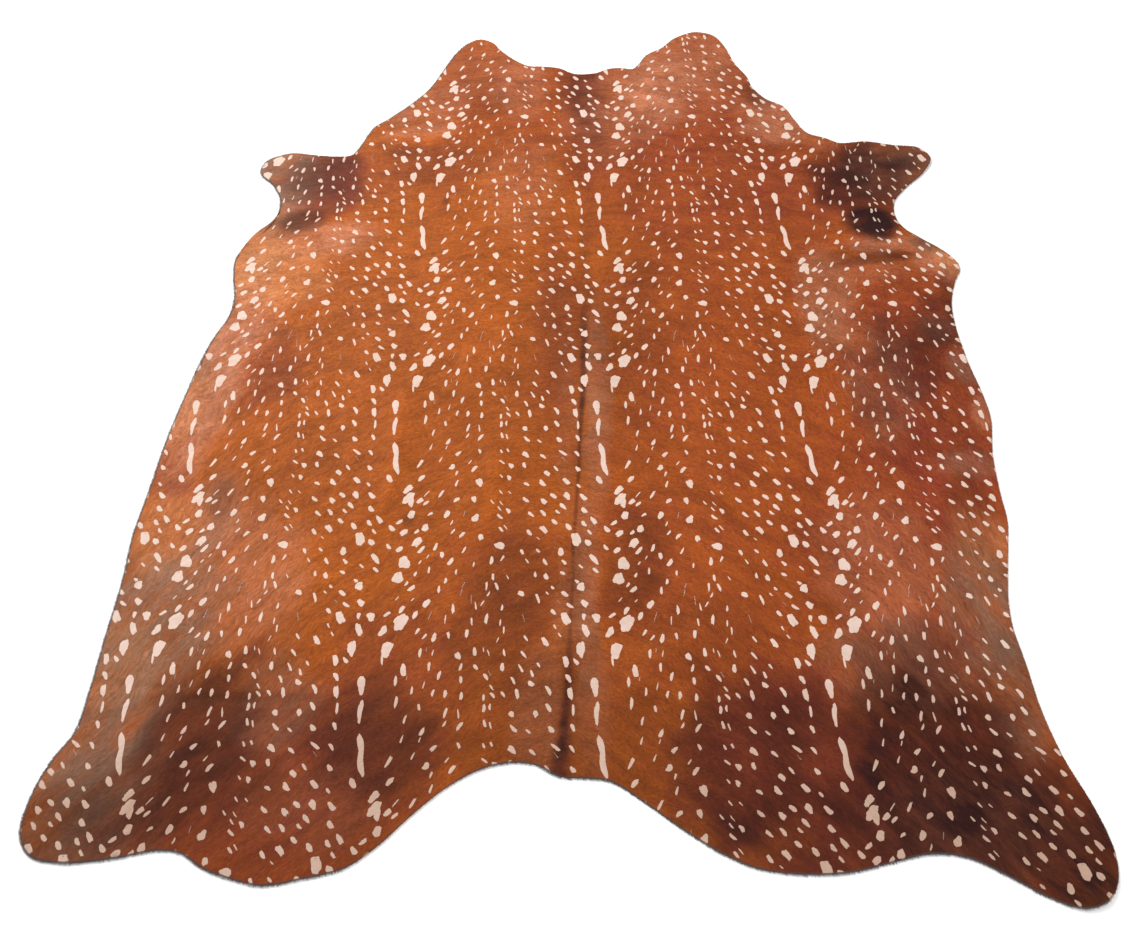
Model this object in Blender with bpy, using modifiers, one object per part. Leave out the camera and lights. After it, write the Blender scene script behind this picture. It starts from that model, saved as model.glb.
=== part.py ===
"""Cowhide rug: one whole tanned hide lying hair side up, 2.28 m from neck to hind legs.

The hide is a single sheet. Its rim is a smooth closed line through the places in OUTLINE, and its inside is an
even net of points. FOLDS lift the sheet in a few low swells, and between them its underside lies flat at z = 0.
X runs across the hide, to its right as seen from the tail, and Y runs along the spine towards the neck. The
middle of the outline's box is the origin.
"""

import bmesh
import bpy
import numpy as np
from mathutils.geometry import delaunay_2d_cdt

NAME = "cowhide_rug"
THICKNESS = 0.0035  # leather 2 mm thick under a coat of short hair that lies flat
RIM_STEP = 0.025  # spacing of the points along the rim
NET_PITCH = 0.036  # spacing of the points inside it
RIM_CLEARANCE = 0.4 * NET_PITCH  # no inner point lies nearer the rim than this
HAIR_BROWN = (0.42, 0.145, 0.045, 1.0)
HAIR_ROUGHNESS = 0.55

# The rim, clockwise as seen from above, in metres: each stretch is a row of places that the rim passes through.
OUTLINE = {
    "neck, left lobe": (
        (-0.410, 0.910),
        (-0.378, 0.985),
        (-0.350, 1.050),
        (-0.318, 1.095),
        (-0.285, 1.112),
        (-0.250, 1.099),
        (-0.215, 1.055),
        (-0.145, 1.001),
    ),
    "nape": (
        (-0.105, 0.998),
        (-0.060, 0.992),
        (-0.012, 0.968),
        (0.045, 0.971),
        (0.080, 0.988),
        (0.115, 0.992),
        (0.150, 0.989),
    ),
    "neck, right lobe": (
        (0.190, 1.046),
        (0.232, 1.075),
        (0.272, 1.118),
        (0.330, 1.142),
        (0.378, 1.128),
        (0.408, 1.082),
        (0.432, 1.012),
        (0.463, 0.955),
        (0.474, 0.916),
    ),
    "right shoulder": (
        (0.508, 0.868),
        (0.554, 0.838),
        (0.580, 0.785),
        (0.608, 0.738),
        (0.655, 0.718),
        (0.690, 0.700),
    ),
    "right foreleg": (
        (0.760, 0.706),
        (0.830, 0.692),
        (0.890, 0.681),
        (0.918, 0.642),
        (0.895, 0.596),
        (0.840, 0.540),
        (0.804, 0.490),
        (0.803, 0.430),
        (0.828, 0.388),
    ),
    "right elbow": (
        (0.868, 0.357),
        (0.912, 0.321),
        (0.933, 0.280),
        (0.912, 0.232),
        (0.894, 0.170),
    ),
    "right flank": (
        (0.892, 0.105),
        (0.898, 0.040),
        (0.905, -0.010),
        (0.920, -0.085),
        (0.926, -0.150),
        (0.913, -0.240),
        (0.911, -0.340),
        (0.913, -0.400),
        (0.897, -0.485),
        (0.881, -0.570),
        (0.878, -0.628),
        (0.889, -0.710),
        (0.899, -0.795),
    ),
    "right hind leg": (
        (0.922, -0.885),
        (0.958, -0.975),
        (0.974, -1.045),
        (0.965, -1.095),
        (0.940, -1.125),
        (0.900, -1.136),
        (0.845, -1.120),
        (0.775, -1.083),
        (0.715, -1.056),
        (0.650, -1.050),
        (0.580, -1.065),
        (0.500, -1.082),
    ),
    "right thigh": (
        (0.420, -1.085),
        (0.345, -1.077),
        (0.285, -1.054),
        (0.205, -1.007),
        (0.150, -0.970),
        (0.085, -0.931),
    ),
    "rump": (
        (0.040, -0.925),
        (-0.008, -0.923),
        (-0.055, -0.902),
        (-0.100, -0.898),
        (-0.155, -0.910),
        (-0.215, -0.942),
        (-0.275, -0.991),
    ),
    "left thigh": (
        (-0.330, -1.043),
        (-0.385, -1.081),
        (-0.455, -1.099),
        (-0.530, -1.111),
        (-0.598, -1.097),
        (-0.640, -1.083),
        (-0.680, -1.060),
    ),
    "left hind leg": (
        (-0.722, -1.055),
        (-0.800, -1.069),
        (-0.890, -1.077),
        (-0.950, -1.066),
        (-0.978, -1.030),
        (-0.977, -0.965),
        (-0.955, -0.898),
        (-0.928, -0.850),
    ),
    "left flank": (
        (-0.920, -0.780),
        (-0.916, -0.660),
        (-0.911, -0.540),
        (-0.913, -0.440),
        (-0.903, -0.330),
        (-0.892, -0.200),
        (-0.877, -0.100),
        (-0.862, -0.010),
        (-0.845, 0.060),
        (-0.820, 0.125),
        (-0.817, 0.185),
    ),
    "left elbow": (
        (-0.831, 0.250),
        (-0.835, 0.305),
        (-0.812, 0.355),
        (-0.778, 0.390),
    ),
    "left foreleg": (
        (-0.757, 0.440),
        (-0.757, 0.495),
        (-0.783, 0.548),
        (-0.822, 0.588),
        (-0.812, 0.633),
        (-0.760, 0.662),
        (-0.690, 0.656),
        (-0.630, 0.651),
    ),
    "left shoulder": (
        (-0.594, 0.656),
        (-0.571, 0.697),
        (-0.547, 0.755),
        (-0.505, 0.797),
        (-0.452, 0.853),
    ),
}

# Low swells of the sheet, in metres: a name, the swell's two ends, how far it reaches to each side, and its height.
FOLDS = (
    ("left shoulder", (-0.74, 0.37), (-0.50, 0.41), 0.085, 0.0050),
    ("right shoulder", (0.62, 0.37), (0.79, 0.36), 0.080, 0.0050),
    ("left side of the neck", (-0.52, 0.71), (-0.34, 0.76), 0.080, 0.0035),
    ("right side of the neck", (0.14, 0.86), (0.27, 1.00), 0.090, 0.0030),
    ("spine, behind the shoulders", (0.05, 0.08), (0.06, -0.28), 0.070, 0.0030),
    ("spine, loin", (0.03, -0.42), (0.02, -0.66), 0.070, 0.0030),
    ("left back", (-0.38, -0.14), (-0.41, -0.38), 0.075, 0.0035),
    ("left loin", (-0.17, -0.26), (-0.21, -0.42), 0.075, 0.0030),
    ("left belly", (-0.73, -0.30), (-0.69, -0.46), 0.080, 0.0035),
    ("left stifle", (-0.70, -0.56), (-0.52, -0.66), 0.090, 0.0040),
    ("right back", (0.31, -0.28), (0.36, -0.46), 0.080, 0.0030),
    ("right thigh", (0.13, -0.74), (0.33, -0.64), 0.080, 0.0035),
    ("right belly", (0.72, 0.00), (0.70, -0.20), 0.085, 0.0040),
    ("right stifle", (0.72, -0.60), (0.79, -0.44), 0.085, 0.0040),
    ("left foreleg's tip", (-0.86, 0.61), (-0.86, 0.61), 0.110, 0.0060),
    ("right foreleg's tip", (0.95, 0.66), (0.95, 0.66), 0.120, 0.0060),
    ("right hind leg's tip", (0.97, -1.14), (0.97, -1.14), 0.120, 0.0060),
)


def clear_scene():
    for scene_object in list(bpy.data.objects):
        bpy.data.objects.remove(scene_object)


def smooth_rim(places, step):
    """Points about one step apart on a closed centripetal Catmull-Rom line through the places."""
    before, start = np.roll(places, 1, axis=0), places
    end, after = np.roll(places, -1, axis=0), np.roll(places, -2, axis=0)
    knots = np.zeros((4, len(places)))
    for index, (a, b) in enumerate(((before, start), (start, end), (end, after))):
        knots[index + 1] = knots[index] + np.sqrt(np.linalg.norm(b - a, axis=1))
    points = []
    for row, (t0, t1, t2, t3) in enumerate(knots.T):
        count = max(1, round(float(np.linalg.norm(end[row] - start[row])) / step))
        t = np.linspace(t1, t2, count, endpoint=False)[:, None]
        a1 = ((t1 - t) * before[row] + (t - t0) * start[row]) / (t1 - t0)
        a2 = ((t2 - t) * start[row] + (t - t1) * end[row]) / (t2 - t1)
        a3 = ((t3 - t) * end[row] + (t - t2) * after[row]) / (t3 - t2)
        b1 = ((t2 - t) * a1 + (t - t0) * a2) / (t2 - t0)
        b2 = ((t3 - t) * a2 + (t - t1) * a3) / (t3 - t1)
        points.append(((t2 - t) * b1 + (t - t1) * b2) / (t2 - t1))
    return np.concatenate(points)


def inner_net(rim, pitch, clearance):
    """Points of a square net over the rim's box, without those that lie too near the rim."""
    low, high = rim.min(axis=0), rim.max(axis=0)
    columns, rows = (np.arange(start, stop, pitch) for start, stop in zip(low, high))
    net = np.stack(np.meshgrid(columns, rows), axis=-1).reshape(-1, 2)
    nearest = np.min(np.linalg.norm(net[:, None] - rim[None], axis=2), axis=1)
    return net[nearest > clearance]


def fold_height(points):
    """The sum of the folds: each is h (1 - (d / r)^2)^2 at a distance d under r from its line, and 0 past r."""
    height = np.zeros(len(points))
    for _name, start, end, reach, rise in FOLDS:
        start, along = np.array(start), np.subtract(end, start)
        share = (points - start) @ along / max(along @ along, reach * reach / 100)
        nearest = start + np.clip(share, 0, 1)[:, None] * along
        distance = np.linalg.norm(points - nearest, axis=1)
        height += rise * np.clip(1 - (distance / reach) ** 2, 0, None) ** 2
    return height


def hide_sheet():
    """The hide's underside, one layer of triangles between the rim's points and the net's."""
    rim = smooth_rim(np.array([place for stretch in OUTLINE.values() for place in stretch]), RIM_STEP)
    rim -= (rim.min(axis=0) + rim.max(axis=0)) / 2
    points = np.concatenate([rim, inner_net(rim, NET_PITCH, RIM_CLEARANCE)])
    rim_edges = [(index, (index + 1) % len(rim)) for index in range(len(rim))]
    inside = 1
    flat, _edges, faces, *_origins = delaunay_2d_cdt(points.tolist(), rim_edges, [], inside, 1e-6)
    heights = fold_height(np.array([tuple(place) for place in flat]))
    mesh = bpy.data.meshes.new("hide")
    mesh.from_pydata([(*place, height) for place, height in zip(flat, heights)], [], faces)
    sheet = bmesh.new()
    sheet.from_mesh(mesh)
    bmesh.ops.delete(sheet, geom=[vert for vert in sheet.verts if not vert.link_faces], context="VERTS")
    bmesh.ops.recalc_face_normals(sheet, faces=sheet.faces)
    if sum(face.normal.z for face in sheet.faces) < 0:
        bmesh.ops.reverse_faces(sheet, faces=sheet.faces)
    sheet.to_mesh(mesh)
    sheet.free()
    return mesh


def hair_material():
    material = bpy.data.materials.new("brown_hair")
    material.use_nodes = True
    shader = material.node_tree.nodes["Principled BSDF"]
    shader.inputs["Base Color"].default_value = HAIR_BROWN
    shader.inputs["Roughness"].default_value = HAIR_ROUGHNESS
    shader.inputs["Metallic"].default_value = 0.0
    return material


def make_hide(collection):
    """The sheet, thickened upwards, so that the flat parts of its underside stay on the floor."""
    hide = bpy.data.objects.new("hide", hide_sheet())
    collection.objects.link(hide)
    hide.data.materials.append(hair_material())
    body = hide.modifiers.new("Thickness", "SOLIDIFY")
    body.thickness = THICKNESS
    body.offset = 1.0
    hide.data.shade_smooth()
    return hide


def main():
    clear_scene()
    collection = bpy.data.collections.new(NAME)
    bpy.context.scene.collection.children.link(collection)
    make_hide(collection)


main()
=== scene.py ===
"""Cowhide rug: the coat of hair, its pale print, the flesh side and the fringe of hair round the cut edge.

Everything is in the frame's metres: X across the hide, to its right as seen from the tail, Y along the spine
towards the neck, Z up out of the hair. The sheet has the same rim and the same low folds as its solid, so
each piece lies where the solid lies. On top of them come creases, an uneven pile and a rounded cut edge.
"""

from functools import cache
from math import cos, radians, sin

import bpy
import numpy as np
from bpy.props import FloatProperty, FloatVectorProperty, IntProperty, PointerProperty
from mathutils import Matrix, Vector


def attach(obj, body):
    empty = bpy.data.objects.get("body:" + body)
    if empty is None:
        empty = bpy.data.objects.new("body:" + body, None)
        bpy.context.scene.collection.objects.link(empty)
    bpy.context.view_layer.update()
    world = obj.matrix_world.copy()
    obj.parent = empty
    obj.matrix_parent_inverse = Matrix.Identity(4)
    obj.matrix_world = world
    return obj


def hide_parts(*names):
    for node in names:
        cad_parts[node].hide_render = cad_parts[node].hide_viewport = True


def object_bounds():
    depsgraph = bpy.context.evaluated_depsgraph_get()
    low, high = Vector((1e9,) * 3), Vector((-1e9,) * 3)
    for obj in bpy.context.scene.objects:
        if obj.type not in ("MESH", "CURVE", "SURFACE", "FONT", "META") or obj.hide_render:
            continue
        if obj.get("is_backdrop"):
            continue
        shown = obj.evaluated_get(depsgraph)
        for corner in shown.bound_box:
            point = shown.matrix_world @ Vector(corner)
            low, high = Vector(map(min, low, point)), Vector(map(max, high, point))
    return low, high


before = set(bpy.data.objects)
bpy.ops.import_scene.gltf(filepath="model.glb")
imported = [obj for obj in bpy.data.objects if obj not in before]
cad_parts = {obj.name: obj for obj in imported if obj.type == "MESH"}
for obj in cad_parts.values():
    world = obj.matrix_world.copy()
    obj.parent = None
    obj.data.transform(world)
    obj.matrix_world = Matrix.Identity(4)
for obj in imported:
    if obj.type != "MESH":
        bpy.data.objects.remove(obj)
CAD_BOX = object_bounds()

bl_info = {
    "name": "Cowhide Rug",
    "version": (1, 0, 0),
    "blender": (4, 5, 0),
    "location": "3D View > Sidebar > Cowhide",
    "description": "Dresses a flat cowhide with hair, a spotted print and a suede flesh side",
    "category": "Object",
}

SHEET = 0.0035  # thickness of leather and hair together, as in the solid
LEATHER = 0.0018  # the part of it that is leather
SOLID_STEP = 0.025  # spacing of the points on the solid's rim, which sets where the outline's middle is
RIM_STEP = 0.004  # spacing of the points on the rim's own fine line
NET_COLUMNS, NET_ROWS = 236, 268  # cells across and along the hide
BY_LENGTH = 0.55  # how far the net's edge points are even along the rim, and not across the hide
BATCH = 1000  # how many points are measured against the rim at a time
MAP_MARGIN = 0.004  # the empty border of a piece's map, as a share of its side
FIRST_RING_EDGE = 0.7  # share of the edge's look on a skin's first ring; on the coat that look is painted shadow
CREASE_FADE = 6  # how fast a crease rises from its two ends

# How the hair lies, as hair_lie describes it.
FAN_AT_NECK, FAN_GROWTH, FAN_POWER = 0.10, 0.62, 1.4  # k at the neck, its gain to the tail, and |x|'s power p
FAN_START, FAN_LENGTH = 0.45, 1.4  # where along the spine the fan starts to grow, and over what length
LIE_SWAY, LIE_TURN = 0.006, 0.009  # how far the lie sways over 30 cm and over 6 cm

# Edges of the natural colours, of the print where dark hair dulls it and painted shade darkens it,
# and of the painted shadow along the rim.
PATCH_WANDER = 0.07  # how far a patch's edge wanders, as a share of its lesser half size
SHORT_WANDER = 0.25  # the share in it of waves of 5 cm, beside those of 15 cm
PATCH_FULLNESS = 1.15  # over 1, a patch has its full strength over some of its middle
SPINE_SWAY = 0.001  # how far the spine's line sways
LOIN, LOIN_LENGTH = -0.62, 0.4  # where along the spine the print starts to darken towards the tail, as painted shade, and over what length
DULLED_BY_DARK, SHADE_PAST_LOIN, DULLED_WAVES = 0.55, 0.5, 0.05  # how far each darkens it: dark hair under it, the painted shade past the loin, and waves
RIM_SHADOW_AWAY = np.array([0.8, 0.6])  # the rim's painted shadow is least where it faces this way
LEAST_RIM_SHADOW = 0.06  # how much painted shadow it has there

# The rim in metres, clockwise as seen from above: each stretch is a row of places that it passes through.
OUTLINE = {
    "neck, left lobe": (
        (-0.410, 0.910), (-0.378, 0.985), (-0.350, 1.050), (-0.318, 1.095), (-0.285, 1.112),
        (-0.250, 1.099), (-0.215, 1.055), (-0.145, 1.001),
    ),
    "nape": (
        (-0.105, 0.998), (-0.060, 0.992), (-0.012, 0.968), (0.045, 0.971), (0.080, 0.988),
        (0.115, 0.992), (0.150, 0.989),
    ),
    "neck, right lobe": (
        (0.190, 1.046), (0.232, 1.075), (0.272, 1.118), (0.330, 1.142), (0.378, 1.128), (0.408, 1.082),
        (0.432, 1.012), (0.463, 0.955), (0.474, 0.916),
    ),
    "right shoulder": (
        (0.508, 0.868), (0.554, 0.838), (0.580, 0.785), (0.608, 0.738), (0.655, 0.718), (0.690, 0.700),
    ),
    "right foreleg": (
        (0.760, 0.706), (0.830, 0.692), (0.890, 0.681), (0.918, 0.642), (0.895, 0.596), (0.840, 0.540),
        (0.804, 0.490), (0.803, 0.430), (0.828, 0.388),
    ),
    "right elbow": (
        (0.868, 0.357), (0.912, 0.321), (0.933, 0.280), (0.912, 0.232), (0.894, 0.170),
    ),
    "right flank": (
        (0.892, 0.105), (0.898, 0.040), (0.905, -0.010), (0.920, -0.085), (0.926, -0.150),
        (0.913, -0.240), (0.911, -0.340), (0.913, -0.400), (0.897, -0.485), (0.881, -0.570),
        (0.878, -0.628), (0.889, -0.710), (0.899, -0.795),
    ),
    "right hind leg": (
        (0.922, -0.885), (0.958, -0.975), (0.974, -1.045), (0.965, -1.095), (0.940, -1.125),
        (0.900, -1.136), (0.845, -1.120), (0.775, -1.083), (0.715, -1.056), (0.650, -1.050),
        (0.580, -1.065), (0.500, -1.082),
    ),
    "right thigh": (
        (0.420, -1.085), (0.345, -1.077), (0.285, -1.054), (0.205, -1.007), (0.150, -0.970),
        (0.085, -0.931),
    ),
    "rump": (
        (0.040, -0.925), (-0.008, -0.923), (-0.055, -0.902), (-0.100, -0.898), (-0.155, -0.910),
        (-0.215, -0.942), (-0.275, -0.991),
    ),
    "left thigh": (
        (-0.330, -1.043), (-0.385, -1.081), (-0.455, -1.099), (-0.530, -1.111), (-0.598, -1.097),
        (-0.640, -1.083), (-0.680, -1.060),
    ),
    "left hind leg": (
        (-0.722, -1.055), (-0.800, -1.069), (-0.890, -1.077), (-0.950, -1.066), (-0.978, -1.030),
        (-0.977, -0.965), (-0.955, -0.898), (-0.928, -0.850),
    ),
    "left flank": (
        (-0.920, -0.780), (-0.916, -0.660), (-0.911, -0.540), (-0.913, -0.440), (-0.903, -0.330),
        (-0.892, -0.200), (-0.877, -0.100), (-0.862, -0.010), (-0.845, 0.060), (-0.820, 0.125),
        (-0.817, 0.185),
    ),
    "left elbow": (
        (-0.831, 0.250), (-0.835, 0.305), (-0.812, 0.355), (-0.778, 0.390),
    ),
    "left foreleg": (
        (-0.757, 0.440), (-0.757, 0.495), (-0.783, 0.548), (-0.822, 0.588), (-0.812, 0.633),
        (-0.760, 0.662), (-0.690, 0.656), (-0.630, 0.651),
    ),
    "left shoulder": (
        (-0.594, 0.656), (-0.571, 0.697), (-0.547, 0.755), (-0.505, 0.797), (-0.452, 0.853),
    ),
}

# The tips of the four legs, where the net of the sheet has its corners: a stretch and a place on it.
LEG_TIPS = (
    ("left foreleg", 3),
    ("right foreleg", 3),
    ("right hind leg", 3),
    ("left hind leg", 4),
)

# Low swells of the sheet, in metres: a name, its two ends, how far it reaches to each side, its height.
FOLDS = (
    ("left shoulder", (-0.74, 0.37), (-0.50, 0.41), 0.085, 0.0050),
    ("right shoulder", (0.62, 0.37), (0.79, 0.36), 0.080, 0.0050),
    ("left side of the neck", (-0.52, 0.71), (-0.34, 0.76), 0.080, 0.0035),
    ("right side of the neck", (0.14, 0.86), (0.27, 1.00), 0.090, 0.0030),
    ("spine, behind the shoulders", (0.05, 0.08), (0.06, -0.28), 0.070, 0.0030),
    ("spine, loin", (0.03, -0.42), (0.02, -0.66), 0.070, 0.0030),
    ("left back", (-0.38, -0.14), (-0.41, -0.38), 0.075, 0.0035),
    ("left loin", (-0.17, -0.26), (-0.21, -0.42), 0.075, 0.0030),
    ("left belly", (-0.73, -0.30), (-0.69, -0.46), 0.080, 0.0035),
    ("left stifle", (-0.70, -0.56), (-0.52, -0.66), 0.090, 0.0040),
    ("right back", (0.31, -0.28), (0.36, -0.46), 0.080, 0.0030),
    ("right thigh", (0.13, -0.74), (0.33, -0.64), 0.080, 0.0035),
    ("right belly", (0.72, 0.00), (0.70, -0.20), 0.085, 0.0040),
    ("right stifle", (0.72, -0.60), (0.79, -0.44), 0.085, 0.0040),
    ("left foreleg's tip", (-0.86, 0.61), (-0.86, 0.61), 0.110, 0.0060),
    ("right foreleg's tip", (0.95, 0.66), (0.95, 0.66), 0.120, 0.0060),
    ("right hind leg's tip", (0.97, -1.14), (0.97, -1.14), 0.120, 0.0060),
)

# Creases of the leather: a name, two ends, how far the line bows to its left, its half width and height.
CREASES = (
    ("left shoulder, ridge", (-0.73, 0.31), (-0.50, 0.40), 0.030, 0.018, 0.0012),
    ("left shoulder, trough", (-0.76, 0.40), (-0.56, 0.45), 0.020, 0.020, -0.0012),
    ("left neck, lower fold", (-0.53, 0.75), (-0.33, 0.74), -0.045, 0.018, 0.0012),
    ("left neck, trough", (-0.54, 0.71), (-0.34, 0.69), -0.040, 0.018, -0.0010),
    ("right shoulder, ridge", (0.60, 0.33), (0.84, 0.36), 0.025, 0.018, 0.0014),
    ("right shoulder, trough", (0.60, 0.28), (0.84, 0.30), 0.025, 0.022, -0.0014),
    ("right neck", (0.16, 0.80), (0.24, 1.00), 0.015, 0.018, 0.0009),
    ("spine, neck", (0.00, 1.00), (0.01, 0.50), 0.000, 0.022, -0.0012),
    ("spine, back", (0.015, 0.48), (0.02, -0.40), 0.004, 0.014, -0.0010),
    ("spine, tail", (0.015, -0.42), (0.00, -0.93), 0.003, 0.016, -0.0014),
    ("beside the spine", (0.060, 0.10), (0.055, -0.66), 0.010, 0.022, 0.0005),
    ("left back, long", (-0.385, -0.04), (-0.40, -0.40), 0.010, 0.014, 0.0010),
    ("left back, short", (-0.465, -0.20), (-0.50, -0.40), -0.006, 0.014, 0.0009),
    ("left loin", (-0.165, -0.22), (-0.18, -0.44), 0.006, 0.014, 0.0009),
    ("left belly", (-0.72, -0.28), (-0.71, -0.48), 0.008, 0.016, 0.0009),
    ("right thigh, upper", (0.10, -0.78), (0.30, -0.62), 0.015, 0.016, 0.0009),
    ("right thigh, lower", (0.14, -0.86), (0.34, -0.70), 0.018, 0.016, 0.0008),
    ("left hind leg", (-0.87, -0.79), (-0.45, -0.78), 0.000, 0.009, -0.0013),
    ("left hind leg, upper", (-0.94, -0.75), (-0.74, -0.77), 0.003, 0.009, -0.0009),
    ("left hind leg, lower", (-0.94, -0.82), (-0.78, -0.80), -0.003, 0.009, -0.0008),
    ("left thigh", (-0.55, -0.65), (-0.32, -0.65), 0.002, 0.011, -0.0006),
    ("right flank", (0.66, -0.02), (0.90, 0.06), 0.015, 0.018, -0.0009),
    ("right belly", (0.60, -0.44), (0.62, -0.66), 0.010, 0.016, 0.0008),
)

# The rounded cut edge as (distance in from the rim, height), from the sheet's flat part to the seam
# between coat and leather.
COAT_EDGE = ((0.0030, 0.0035), (0.0018, 0.00338), (0.0009, 0.0030), (0.0003, 0.00245), (0.0, LEATHER))
FLESH_EDGE = ((0.0030, 0.0), (0.0008, 0.0), (0.0002, 0.00025), (0.0, 0.0007), (0.0, LEATHER))
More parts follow.
